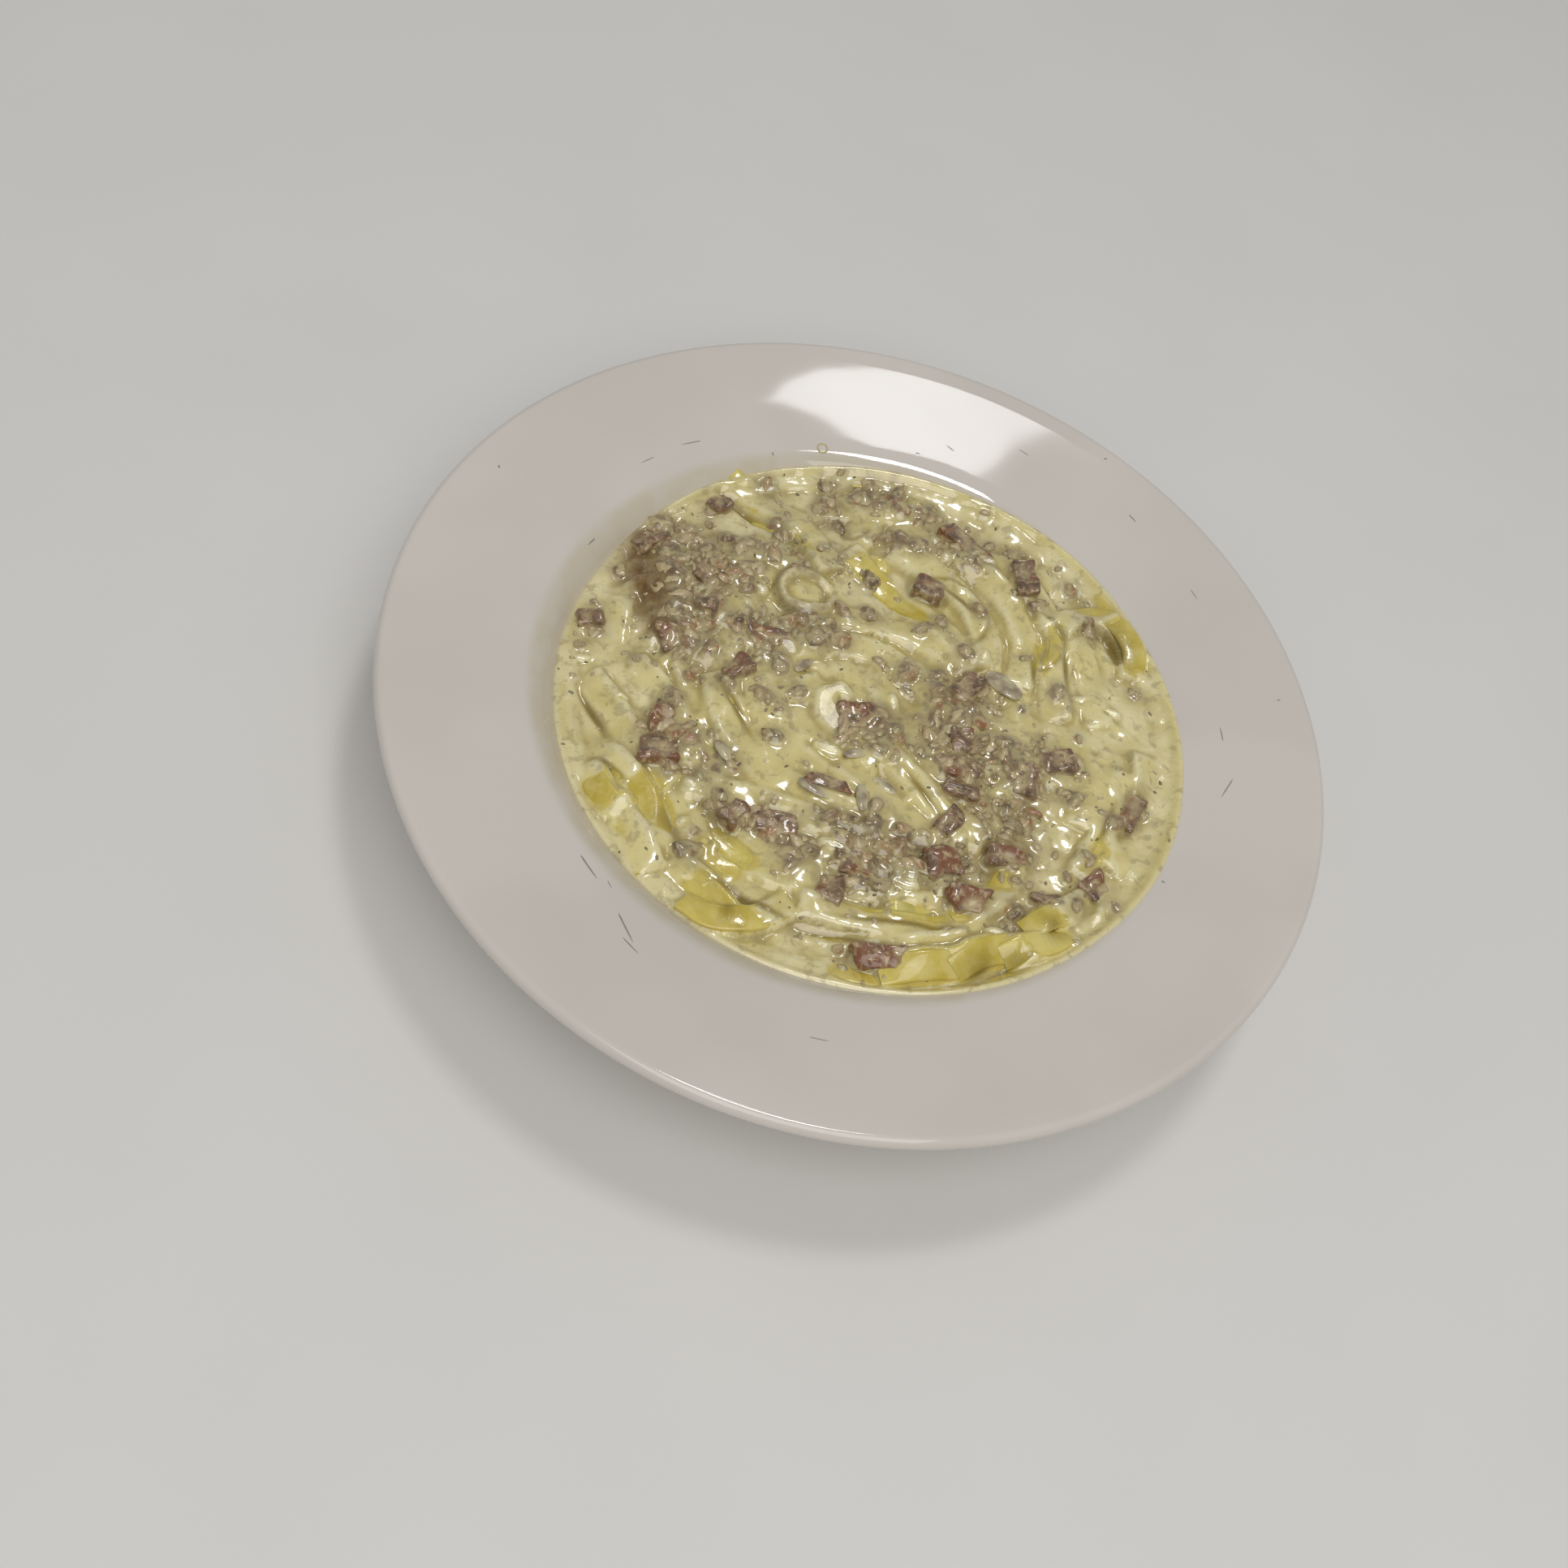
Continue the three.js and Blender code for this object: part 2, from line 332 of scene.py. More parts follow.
def soften(field, spread):
    """A Gaussian blur, with its spread in millimetres."""
    edge = 40
    padded = np.pad(field, edge, mode="edge")
    rows = np.fft.fftfreq(padded.shape[0], CELL)[:, None]
    columns = np.fft.rfftfreq(padded.shape[1], CELL)[None, :]
    keep = np.exp(-2 * (math.pi * spread) ** 2 * (rows ** 2 + columns ** 2))
    soft = np.fft.irfft2(np.fft.rfft2(padded) * keep, padded.shape)
    return soft[edge:-edge, edge:-edge]


def grow(field, reach):
    """Each cell takes the highest value within reach."""
    cells = int(reach / CELL)
    grown = field.copy()
    for i in range(-cells, cells + 1):
        for j in range(-cells, cells + 1):
            if i * i + j * j <= cells * cells:
                grown = np.maximum(grown, np.roll(field, (i, j), (0, 1)))
    return grown


def stamp(field, x, y, height):
    i = np.clip(np.rint((x + REACH) / CELL).astype(int), 0, COUNT - 1)
    j = np.clip(np.rint((y + REACH) / CELL).astype(int), 0, COUNT - 1)
    np.maximum.at(field, (j.ravel(), i.ravel()), height.ravel())


def step_up(value, low, high):
    share = np.clip((value - low) / (high - low), 0, 1)
    return share * share * (3 - 2 * share)


def patch(x, y, centre_x, centre_y, long, wide, heading):
    """A soft oval, 1 in its middle and 0 outside; long and wide are its half sizes, heading in degrees."""
    turn = math.radians(heading)
    along = (x - centre_x) * math.cos(turn) + (y - centre_y) * math.sin(turn)
    across = (y - centre_y) * math.cos(turn) - (x - centre_x) * math.sin(turn)
    return np.exp(-((along / long) ** 2 + (across / wide) ** 2) ** 1.5)


def patches(x, y, ovals):
    total = np.zeros_like(x)
    for *oval, strength in ovals:
        total = np.maximum(total, strength * patch(x, y, *oval))
    return total


# %% Levels in the well
FOOD_X = 4.4
FOOD_Y = 2.0
FOOD_RADIUS = 101.1
SAUCE_LEVEL = 36.3
SAUCE_TILT = 0.0265
SAUCE_HIGH_SIDE = 0.42
HEAP_RISE = 2.4
CORE_DEPTH = 6.6
RISES = [(-62, 18, 26, 30, 4.2), (50, -6, 30, 22, 1.6), (-15, -66, 16, 9, -2.2)]


def wall_height(radius):
    """The height of the plate's upper surface at a distance from its axis."""
    bend = np.clip(radius - FLOOR_RADIUS, 0, WELL_BEND * math.sin(WELL_TURN))
    height = BEND_HEIGHT - np.sqrt(WELL_BEND ** 2 - bend ** 2)
    turn_end = shoulder_x - SHOULDER_BEND * math.sin(WELL_TURN)
    over = np.clip(radius, turn_end, shoulder_x - SHOULDER_BEND * math.sin(RIM_SLOPE)) - shoulder_x
    shoulder = shoulder_z + np.sqrt(SHOULDER_BEND ** 2 - over ** 2)
    rim = np.maximum(radius - (shoulder_x - SHOULDER_BEND * math.sin(RIM_SLOPE)), 0) * math.tan(RIM_SLOPE)
    return np.where(radius > turn_end, shoulder + rim, height)


def sauce_height(x, y):
    return SAUCE_LEVEL + SAUCE_TILT * (x * math.cos(SAUCE_HIGH_SIDE) + y * math.sin(SAUCE_HIGH_SIDE))


def heap_height(x, y):
    out = np.hypot(x - FOOD_X, y - FOOD_Y) / FOOD_RADIUS
    height = sauce_height(x, y) + HEAP_RISE * (1 - out ** 2)
    for rise_x, rise_y, half_x, half_y, lift in RISES:
        height = height + lift * np.exp(-((x - rise_x) / half_x) ** 2 - ((y - rise_y) / half_y) ** 2)
    return height


map_radius = np.hypot(MAP_X, MAP_Y)
WALL_MAP = wall_height(map_radius)
HEAP_MAP = heap_height(MAP_X, MAP_Y)
relief = np.maximum(HEAP_MAP - CORE_DEPTH, WALL_MAP)
inner_heap = HEAP_MAP[map_radius < 90]
print("heap from", round(float(inner_heap.min()), 1), "to", round(float(inner_heap.max()), 1))

# %% [markdown]
# ## The core
# Nobody sees the middle of the heap. A plain drum that follows the well, a little below the noodles, keeps
# light from shining through and gives the lowest ribbons something to lie on.

# %% The core under the noodles
CORE_RADIUS = 93.0


def noodle_core():
    deselect()
    bpy.ops.mesh.primitive_uv_sphere_add(segments=72, ring_count=36, radius=CORE_RADIUS * MM)
    core = added("pasta_core")
    places = np.array([vertex.co for vertex in core.data.vertices])
    x, y = places[:, 0] / MM + FOOD_X * 0.5, places[:, 1] / MM + FOOD_Y * 0.5
    top = heap_height(x, y) - CORE_DEPTH - 0.4
    floor = np.minimum(wall_height(np.hypot(x, y)) + 0.4, top - 0.5)
    share = np.clip(places[:, 2] / (6 * MM), -1, 1) * 0.5 + 0.5
    places = np.stack([x, y, floor + (top - floor) * share], axis=1) * MM
    core.data.vertices.foreach_set("co", places.ravel())
    core.data.update()
    smooth_shade(core)
    return core


core = noodle_core()
print("core:", triangles(core), "triangles")

# %% [markdown]
# ## The ribbons
# Each noodle is a strip about 8 mm wide and under 2 mm thick. It is one spline of a curve object, whose
# extrude gives the width and whose bevel gives the rounded edges. Before a spline is made, its line is laid
# on the height map: the strip leans the way the things below it lean, rests on the highest of them, and
# then raises the map for the next one. Ribbons deep in the heap wander at random; those on top are listed
# one by one.

# %% Laying a ribbon on the map
RIBBON_WIDTH = 8.4
RIBBON_THICKNESS = 1.7
STEP = 1.5
EDGE_KEEP_OFF = 6.0
PRESS = 2.4
dice = random.Random(11)


def smooth_line(points):
    """A rounded line through the given points, with a point at each STEP."""
    corners = np.array(points, float)
    first = 2 * corners[0] - corners[1]
    last = 2 * corners[-1] - corners[-2]
    guide = np.vstack([first, corners, last])
    line = []
    for a, b, c, d in zip(guide, guide[1:], guide[2:], guide[3:]):
        for share in np.linspace(0, 1, 24, endpoint=False):
            line.append(0.5 * (2 * b + (c - a) * share + (2 * a - 5 * b + 4 * c - d) * share ** 2
                               + (3 * b - a - 3 * c + d) * share ** 3))
    line = np.array(line + [corners[-1]])
    gaps = np.hypot(*np.diff(line, axis=0).T)
    run = np.concatenate([[0], np.cumsum(gaps)])
    stops = np.linspace(0, run[-1], max(4, int(run[-1] / STEP)))
    return np.stack([np.interp(stops, run, line[:, 0]), np.interp(stops, run, line[:, 1])], axis=1)


def even_out(values, spread):
    reach = int(spread * 3) + 1
    kernel = np.exp(-0.5 * (np.arange(-reach, reach + 1) / spread) ** 2)
    padded = np.pad(values, reach, mode="edge")
    return np.convolve(padded, kernel / kernel.sum(), mode="valid")


def sideways(line):
    along = np.gradient(line, axis=0)
    along /= np.maximum(np.hypot(along[:, 0], along[:, 1]), 1e-6)[:, None]
    return np.stack([-along[:, 1], along[:, 0]], axis=1)


def lay(field, line, width=1.0, sink=0.0, ceiling=0.0, arch=0.0, lean=0.0):
    """Lays a flat strip; returns its points, its lean in radians and its width as a share.

    Where the pile has reached the heap's own height, a strip is pressed in rather than stacked up."""
    side = sideways(line)
    offsets = np.linspace(-0.46, 0.46, 7) * RIBBON_WIDTH * width
    x = line[:, :1] + side[:, :1] * offsets
    y = line[:, 1:] + side[:, 1:] * offsets
    under = read(field, x, y)
    slope = (under * offsets).sum(axis=1) / (offsets ** 2).sum()
    slope = even_out(np.clip(slope, -0.45, 0.45), 3.0) + math.tan(lean)
    rest = (under - slope[:, None] * offsets).max(axis=1)
    rest = even_out(np.maximum(rest, even_out(rest, 5.0)), 2.2)
    height = rest + RIBBON_THICKNESS * 0.5 - sink
    limit = heap_height(x[:, 3], y[:, 3]) + ceiling - PRESS
    pressed = limit + PRESS * (1 - np.exp(-(height - limit) / PRESS))
    height = np.where(height > limit, pressed, height)
    height = height + arch * np.sin(np.linspace(0, math.pi, len(line)))
    fine = np.linspace(0, len(line) - 1, len(line) * 5)
    spread = np.linspace(-0.5, 0.5, 25) * RIBBON_WIDTH * width
    order = np.arange(len(line))
    middle = [np.interp(fine, order, column)[:, None] for column in (*line.T, *side.T, height, slope)]
    edge = 1 - np.abs(spread / (0.5 * RIBBON_WIDTH * width))
    crown = RIBBON_THICKNESS * (0.5 - 0.22 * np.exp(-edge * 14))
    stamp(field, middle[0] + middle[2] * spread, middle[1] + middle[3] * spread,
          middle[4] + middle[5] * spread + crown)
    return np.column_stack([line, height]), np.arctan(slope), np.full(len(line), width)


def outline_radius(angle):
    """The food's outline round its own middle."""
    return (FOOD_RADIUS + 0.35 * np.cos(3 * angle + 1) + 0.25 * np.cos(5 * angle)
            + 0.18 * np.cos(9 * angle + 2))


def wander():
    """A noodle that drifts through the heap and turns back before it reaches the edge."""
    angle = dice.uniform(0, 2 * math.pi)
    far = 80 * math.sqrt(dice.random())
    x, y = FOOD_X + far * math.cos(angle), FOOD_Y + far * math.sin(angle)
    heading = dice.uniform(0, 2 * math.pi)
    bend = dice.choice([-1, 1]) / dice.uniform(22, 75)
    points = []
    for _ in range(dice.randint(50, 95)):
        points.append((x, y))
        out = math.hypot(x - FOOD_X, y - FOOD_Y)
        inward = math.atan2(FOOD_Y - y, FOOD_X - x)
        turn = (inward - heading + math.pi) % (2 * math.pi) - math.pi
        press = max(0.0, (out - 74) / 14)
        heading += STEP * bend + 0.16 * min(press, 1.6) * (1 if turn > 0 else -1)
        bend += dice.uniform(-0.004, 0.004)
        x += STEP * math.cos(heading)
        y += STEP * math.sin(heading)
        if math.hypot(x - FOOD_X, y - FOOD_Y) > FOOD_RADIUS - EDGE_KEEP_OFF:
            break
    return np.array(points)


# %% Ribbons deep in the heap
DEEP_RIBBONS = 62
laid = []
while len(laid) < DEEP_RIBBONS:
    line = wander()
    if len(line) > 24:
        laid.append(lay(relief, line, dice.uniform(0.88, 1.06), 0.0, dice.uniform(-2.2, -0.4)))
print("deep ribbons:", len(laid), "top of the heap", round(float(relief[map_radius < 90].max()), 1))

# %% [markdown]
# The ribbons that show are listed one by one. Each entry is a line over the plate, a width as a share of the
# usual one, how far it sinks into what is below, how far it may stand over the heap, and for some how far
# it arches up in its middle and how it leans. Noodles that stand on their edge under the cream are only
# ridges of the map; the two that stand bare are real loops.

# %% Ribbons on top of the heap
TOP_RIBBONS = [
    ([(-84, 4), (-81, -10), (-75, -25), (-64, -37)], 0.9, 0.6, 0.9),
    ([(-70, -18), (-58, -24), (-48, -34), (-42, -46)], 0.9, 0.6, 0.9),
    ([(-82, -28), (-73, -34), (-63, -43), (-54, -50), (-44, -54)], 1.12, 0.2, 1.0),
    ([(-34, -6), (-24, -20), (-9, -30), (8, -35), (22, -34)], 1.1, 0.3, 0.9),
    ([(-45, -10), (-38, -22), (-27, -32), (-12, -40), (6, -42), (26, -40)], 1.25, 0.0, 1.4),
    ([(-40, -52), (-26, -49), (-8, -48), (12, -47), (30, -50)], 0.95, 0.7, 0.9),
    ([(-34, -64), (-20, -66), (-4, -68), (12, -65)], 0.95, 1.2, 0.5),
    ([(6, -75), (22, -72), (38, -68), (54, -60), (66, -50)], 0.95, 0.2, 1.1),
    ([(2, -84), (14, -85), (28, -81), (42, -75), (55, -67)], 1.05, 0.2, 1.2),
    ([(16, -92), (28, -90), (40, -86)], 0.9, 0.2, 1.2, 1.2),
    ([(34, -87), (42, -82), (51, -77), (59, -72)], 1.1, 0.3, 1.0, 3.0, 0.15),
    ([(54, -77), (59, -70), (66, -64), (73, -60)], 1.1, 0.3, 1.0, 2.8, 0.25),
    ([(66, -67), (72, -61), (78, -56), (83, -49)], 1.0, 0.2, 1.0, 2.4, 0.2),
    ([(70, -56), (75, -49), (80, -44), (86, -36)], 1.0, 0.2, 0.8, 1.8, 0.2),
    ([(80, 20), (83, 4), (84, -12), (81, -28)], 0.9, 0.5, 0.9),
    ([(90, 24), (94, 10), (94, -8), (89, -22)], 1.0, 0.4, 1.0),
    ([(48, -60), (56, -52), (60, -40), (58, -28)], 0.95, 0.6, 0.9),
    ([(-26, 12), (-10, 21), (8, 20), (22, 12), (34, 8)], 0.95, 0.6, 0.9),
    ([(-26, 26), (-10, 33), (8, 34), (22, 30)], 0.95, 0.5, 0.9),
    ([(8, -13), (21, -20), (35, -28), (50, -31)], 0.95, 0.3, 1.1),
    ([(2, -25), (17, -31), (33, -37), (44, -36)], 0.95, 0.5, 0.9),
    ([(-20, 2), (-8, -8), (4, -16), (8, -26)], 0.95, 0.8, 0.8),
    ([(60, 30), (68, 16), (76, 4), (76, -12)], 0.95, 0.8, 0.8),
    ([(-80, 48), (-72, 54), (-62, 58), (-52, 56), (-42, 48)], 0.95, 0.8, 0.8),
    ([(-72, 70), (-60, 66), (-47, 64), (-36, 57), (-27, 48)], 1.1, 0.0, 1.4),
    ([(-50, 82), (-36, 84), (-22, 80), (-10, 84)], 0.95, 0.7, 0.8),
    ([(-12, 90), (4, 94), (20, 93), (36, 87)], 1.1, 0.6, 1.0),
    ([(-14, 74), (2, 76), (16, 74), (30, 67)], 0.95, 0.5, 0.9),
    ([(12, 74), (27, 67), (37, 57), (43, 45), (44, 31)], 1.0, 0.2, 1.3),
    ([(32, 76), (45, 66), (53, 54), (54, 39), (59, 25)], 1.0, 0.0, 1.7),
    ([(50, 66), (60, 55), (67, 43), (73, 29)], 0.95, 0.5, 1.0),
    ([(-24, 58), (-12, 52), (3, 46), (17, 39), (28, 30)], 1.05, -0.1, 1.2),
    ([(-10, 67), (5, 63), (19, 56), (29, 44), (32, 33)], 1.1, 0.0, 1.9),
    ([(-72, -50), (-61, -55), (-51, -61), (-43, -69), (-38, -79)], 1.1, 0.1, 1.2, 1.6, -0.15),
    ([(-68, -58), (-63, -65), (-57, -69), (-50, -68)], 1.0, 0.2, 1.0, 2.4, 0.25),
    ([(-60, -60), (-53, -69), (-46, -77), (-38, -84)], 1.15, 0.3, 0.9),
    ([(-34, -78), (-22, -82), (-12, -87), (-6, -92)], 1.1, 0.2, 0.9, 2.4, 0.2),
    ([(-26, -89), (-17, -91), (-8, -88), (-2, -83), (3, -76)], 1.0, 0.2, 0.9, 2.0, -0.2),
    ([(50, 60), (54, 68), (61, 73), (69, 71), (76, 64), (79, 54)], 0.95, 0.2, 2.0, 1.8, -0.35),
]

# Ridges under the cream: the middle, a radius, first and last angle, and the height over what is below
RIDGES = [
    (-31, 34, 8.6, 30, 400, 3.1), (-25, 72, 6.2, 150, 420, 1.2), (62, 62, 4.6, -60, 200, 1.3),
    (41, 50, 11.5, -50, 85, 1.4), (13, 47, 13.5, -10, 95, 1.3), (90, 8, 8.0, 120, 260, 1.0),
    (8, 94, 8.0, 10, 150, 0.8), (86, -20, 7.0, 150, 330, 1.2), (52, 26, 7.0, 200, 350, 0.9),
    (-6, 4, 10.0, 190, 300, 0.9), (22, -8, 9.0, 20, 130, 0.8), (-52, 60, 20.0, 240, 310, 0.9),
    (70, 22, 10.0, -70, 40, 1.1), (20, 66, 9.0, 100, 230, 0.9), (-20, -10, 12.0, 100, 190, 0.8),
]
# Loops that stand bare: the middle, radius, first and last angle, height over the cream, lean in degrees
LOOPS = [
    ((-28, 83), 6.5, 10, 165, 1.3, 62),
    ((66, 60), 9.0, -25, 110, 1.4, 50),
]


def raise_ridge(field, x, y, radius, first, last, height):
    turns = np.radians(np.arange(first, last, 20 / radius))
    wobble = radius * (1 + 0.07 * np.sin(2 * turns + x))
    middle_x, middle_y = x + wobble * np.cos(turns), y + wobble * np.sin(turns) * 0.94
    level = even_out(read(soften(field, 1.5), middle_x, middle_y), 6.0)
    ends = np.minimum(np.arange(len(turns)), np.arange(len(turns))[::-1]) * 0.35
    for off in np.arange(-1.2, 1.25, 0.3):
        top = level + height * (1 - 0.3 * abs(off)) * step_up(ends, -1, 4)
        stamp(field, middle_x + off * np.cos(turns), middle_y + off * np.sin(turns), top)


for points, *shape in TOP_RIBBONS:
    laid.append(lay(relief, smooth_line(points), *shape))
for ridge in RIDGES:
    raise_ridge(relief, *ridge)
print("ribbons laid:", len(laid), "top", round(float(relief[map_radius < 90].max()), 1))

# %% [markdown]
# ## How the cream lies
# Cream runs off what stands high and gathers in the hollows. Two copies of the map give its surface: a film
# that follows the noodles closely, and a pool that is a much softer copy. Wherever one is the higher, it
# shows. Where noodles have come out of the sauce, the film is pulled down so that they stand bare.

# %% Where noodles are bare, where cream floods them, where the bacon has browned it, and where shade is painted
BARE = [
    (58, 77, 9, 6, 20, 1.0), (76, 66, 12, 7, -50, 1.0), (48, -81, 15, 7, 35, 1.1),
    (64, -68, 10, 7, 45, 1.1), (76, -55, 8, 10, 60, 1.1), (28, -91, 10, 4, 5, 0.9),
    (-14, -88, 15, 7, -10, 1.1), (-47, -62, 10, 6, -45, 1.0), (-62, -66, 7, 6, 0, 0.8),
    (-12, 57, 6, 5, 0, 0.7), (-4, 47, 17, 4, -20, 0.8), (59, -41, 6, 5, 0, 0.55), (14, -85, 9, 5, 0, 0.6),
    (49, 50, 4, 10, 0, 0.55), (-20, -69, 10, 6, -10, 0.8), (-29, 89, 6, 3, 10, 0.8),
    (-54, 58, 16, 3, -15, 0.7), (35, -64, 18, 3, 17, 0.7), (-48, -75, 8, 6, -50, 0.4),
    (-88, 14, 4, 8, 0, 0.6), (84, -24, 4, 8, 0, 0.4),
]
FLOOD = [
    (78, 34, 24, 30, 0, 1.0), (40, 88, 30, 12, -20, 0.9), (-70, 76, 26, 10, 45, 1.0),
    (-92, -6, 9, 26, 0, 0.9), (-22, -28, 24, 13, -38, 0.35), (0, -92, 36, 6, 0, 0.7),
    (-86, 56, 12, 16, -30, 0.9), (5, -42, 34, 5, 0, 0.3), (74, -6, 12, 14, 0, 0.8),
    (-10, 14, 16, 12, 0, 0.5), (-81, -16, 11, 15, 0, 1.0), (80, -34, 12, 10, 0, 0.9),
    (2, -30, 7, 6, 0, 0.6), (94, -30, 8, 26, -25, 1.0), (30, -30, 12, 10, 0, 0.3),
]
MOTTLED = [
    (-70, 26, 22, 19, -15, 1.0), (-62, 4, 18, 12, -40, 0.9), (-40, 10, 14, 10, 0, 0.8),
    (-44, 44, 16, 9, -20, 0.7), (43, -2, 25, 13, 0, 1.0), (58, 6, 9, 11, 0, 0.6),
    (56, -20, 13, 13, 0, 0.75), (42, -46, 13, 9, 20, 0.7), (22, -58, 13, 7, 10, 0.9),
    (-50, -41, 11, 11, 0, 0.8), (-14, -55, 14, 5, 10, 0.8), (10, 82, 15, 7, -20, 0.7),
    (4, -8, 12, 9, 20, 0.8), (16, 16, 13, 8, 0, 0.7), (-8, 72, 12, 7, 0, 0.5), (-42, -10, 10, 8, 0, 0.7),
    (62, -32, 10, 6, 10, 0.5), (32, 14, 10, 11, 0, 0.85), (90, 0, 4, 8, 0, 0.3), (32, -83, 8, 4, 15, 0.6),
    (-32, 70, 12, 9, 0, 0.35), (-35, -44, 8, 13, -10, 0.65), (-16, 87, 22, 6, 5, 0.85),
    (-26, 20, 14, 9, 0, 0.9), (-26, 53, 15, 7, -10, 0.6), (-54, 68, 11, 8, 0, 0.4),
    (14, -45, 17, 6, 5, 0.9), (0, -61, 6, 8, 0, 0.8), (12, 72, 12, 8, -20, 0.55), (-24, -68, 7, 5, 0, 0.5),
    (-46, -70, 6, 5, 0, 0.4), (-24, -10, 8, 5, 0, 0.75), (-37, -31, 6, 5, 0, 0.6), (-50, 50, 8, 17, 0, 0.4),
    (12, -80, 8, 3, 0, 0.4),
]
# Brown oil on the cream; on the steep left flank of the heap this dark amber is also painted shade
OIL_AND_SHADE = [
    (-80, 15, 21, 7.0, 122, 1.0), (-70, -1, 7, 4, 130, 0.8), (29, 20, 6, 7, 0, 0.7), (91, 2, 3, 10, 0, 0.6),
    (-60, 26, 8, 8, 0, 0.5), (58, -30, 9, 4, 20, 0.6), (38, -18, 8, 4, 10, 0.6), (10, 0, 14, 4, 15, 0.45),
]

# Slits and hollows between noodles: the cream sinks there, and their dark colour is painted shade
CREASES = [
    (71, 63, 9, 2.4, -48), (-42, -66, 9, 1.7, -32), (-14, -86, 9, 1.7, -40), (-22, -64, 8, 2.0, -20),
    (-55, 57, 16, 1.4, -18), (18, 54, 11, 1.1, -22), (-26, -60, 9, 2.4, -30), (-33, 42, 7, 1.0, 10),
    (-41, 33, 6, 1.0, 80), (35, -69, 18, 1.0, 17), (-74, -40, 9, 1.2, -38), (61, -74, 5, 1.0, 55),
    (71, -66, 5, 1.0, 50), (78, -50, 5, 1.0, 60), (-88, 33, 4, 4, 0), (12, -47, 12, 1.0, 5),
    (-36, -20, 12, 1.2, -42), (57, 44, 8, 1.0, -70), (47, 38, 7, 1.0, -75), (27, -24, 8, 1.0, -35),
    (84, -8, 8, 1.0, 85), (-8, 70, 8, 1.0, -15), (-62, -58, 6, 1.2, -20), (-10, -80, 14, 1.4, -8),
    (20, -80, 12, 0.9, 12),
]

# Slits that follow a circle: its middle and radius, the side they are on, and how strong they are; their dark
# colour is painted shade too
CURVED_CREASES = [
    (-31, 34, 10.2, 205, 1.0), (-31, 34, 6.4, 40, 0.5), (66, 60, 6.5, 60, 0.9), (41, 50, 13.0, 20, 0.6),
    (13, 47, 15.0, 45, 0.7), (-26, 70, 5.0, 300, 0.6), (22, 64, 10.5, 150, 0.5),
]

# Places where nothing is scattered, so that the shapes there stay clear; the larger glints are added below
CLEAR = [
    (-32, 35, 12, 12, 0), (-25, -30, 24, 8, -38), (14, 55, 22, 8, -35), (42, 52, 14, 13, -55),
    (-70, -37, 11, 9, -40), (68, 66, 15, 11, -40), (48, -78, 18, 9, 32), (-18, -86, 17, 8, 0),
    (76, -54, 12, 9, 55), (-57, -62, 13, 10, -45), (-6, -40, 12, 4, 0), (-81, 16, 15, 5, 118),
    (-60, 62, 15, 8, -15), (36, -73, 26, 4, 25), (-26, -64, 10, 5, -20), (76, 30, 14, 20, 0),
]
# Smooth places that lean halfway between the eye and the lamp, and so shine white
SHINING = [
    (-8, -6, 6.5, 10, 15), (-4, -22, 5.5, 2.4, 0), (-29, 10, 4.0, 3.0, -20), (32, -55, 4.5, 2.6, 10),
    (90, -41, 2.6, 5.5, 10), (-20, 66, 3.2, 2.2, 0), (9, 4, 2.0, 4.2, 20), (47, 60, 1.8, 4.0, -40),
    (-45, 27, 3.0, 2.0, 0), (62, -60, 3.4, 2.0, 20), (-68, -8, 2.4, 3.0, 0), (20, 76, 3.2, 2.0, 0),
    (70, 8, 2.0, 3.6, 10), (-38, -52, 3.4, 1.8, -20), (8, -53, 4.5, 1.6, 0), (-58, 72, 4.0, 1.8, 35),
]
SMALL_GLINTS = 30
LARGE_GLINT = 11
GLINT_MARGIN = 3
EYE = np.array([0.0, -348.0, 474.0])
LAMP = np.array([37.0, 1330.0, 2500.0])

bare_map = patches(MAP_X, MAP_Y, BARE)
round_glints = []
for x, y, long, wide, turn in SHINING:
    if long * wide > LARGE_GLINT:
        round_glints.append((x, y, long + GLINT_MARGIN, wide + GLINT_MARGIN, turn))
clear_map = patches(MAP_X, MAP_Y, [(*oval, 1.0) for oval in CLEAR + round_glints])
crease_map = patches(MAP_X, MAP_Y, [(*oval, 1.0) for oval in CREASES])
for x, y, radius, toward, strength in CURVED_CREASES:
    along = np.cos(np.arctan2(MAP_Y - y, MAP_X - x) - math.radians(toward))
    line = np.exp(-((np.hypot(MAP_X - x, MAP_Y - y) - radius) / 0.9) ** 2) * step_up(along, -0.1, 0.5)
    crease_map = np.maximum(crease_map, strength * line)
flood_map = patches(MAP_X, MAP_Y, FLOOD)
mottled_map = patches(MAP_X, MAP_Y, MOTTLED)
oil_and_shade_map = patches(MAP_X, MAP_Y, OIL_AND_SHADE)
away = np.hypot(MAP_X - FOOD_X, MAP_Y - FOOD_Y)
inset_map = outline_radius(np.arctan2(MAP_Y - FOOD_Y, MAP_X - FOOD_X)) - away
flood_map = np.maximum(flood_map, step_up(-inset_map, -9, -2))


# %% Cream over the noodles
FILM = 0.45
POOL_DROP = 1.0
BARE_DEPTH = 2.0


def softer_max(first, second, blend):
    high = np.maximum(first, second)
    return high + blend * np.log(np.exp((first - high) / blend) + np.exp((second - high) / blend))


film_map = soften(grow(relief, 0.5), 0.5) + FILM
pool_map = soften(relief, 5.0) - POOL_DROP + 1.3 * flood_map
near_edge = pool_map + (sauce_height(MAP_X, MAP_Y) - pool_map) * step_up(-inset_map, -14, -4)
pool_map = np.where(inset_map < 14, near_edge, pool_map)
pool_map = pool_map - 1.6 * crease_map
pool_map = np.maximum(pool_map, HEAP_MAP - 2.4 + 0.9 * flood_map)
cream_map = softer_max(film_map, pool_map, 0.25) - BARE_DEPTH * bare_map - 1.1 * crease_map
inner_cream = cream_map[away < 95]
print("cream from", round(float(inner_cream.min()), 1), "to", round(float(inner_cream.max()), 1))

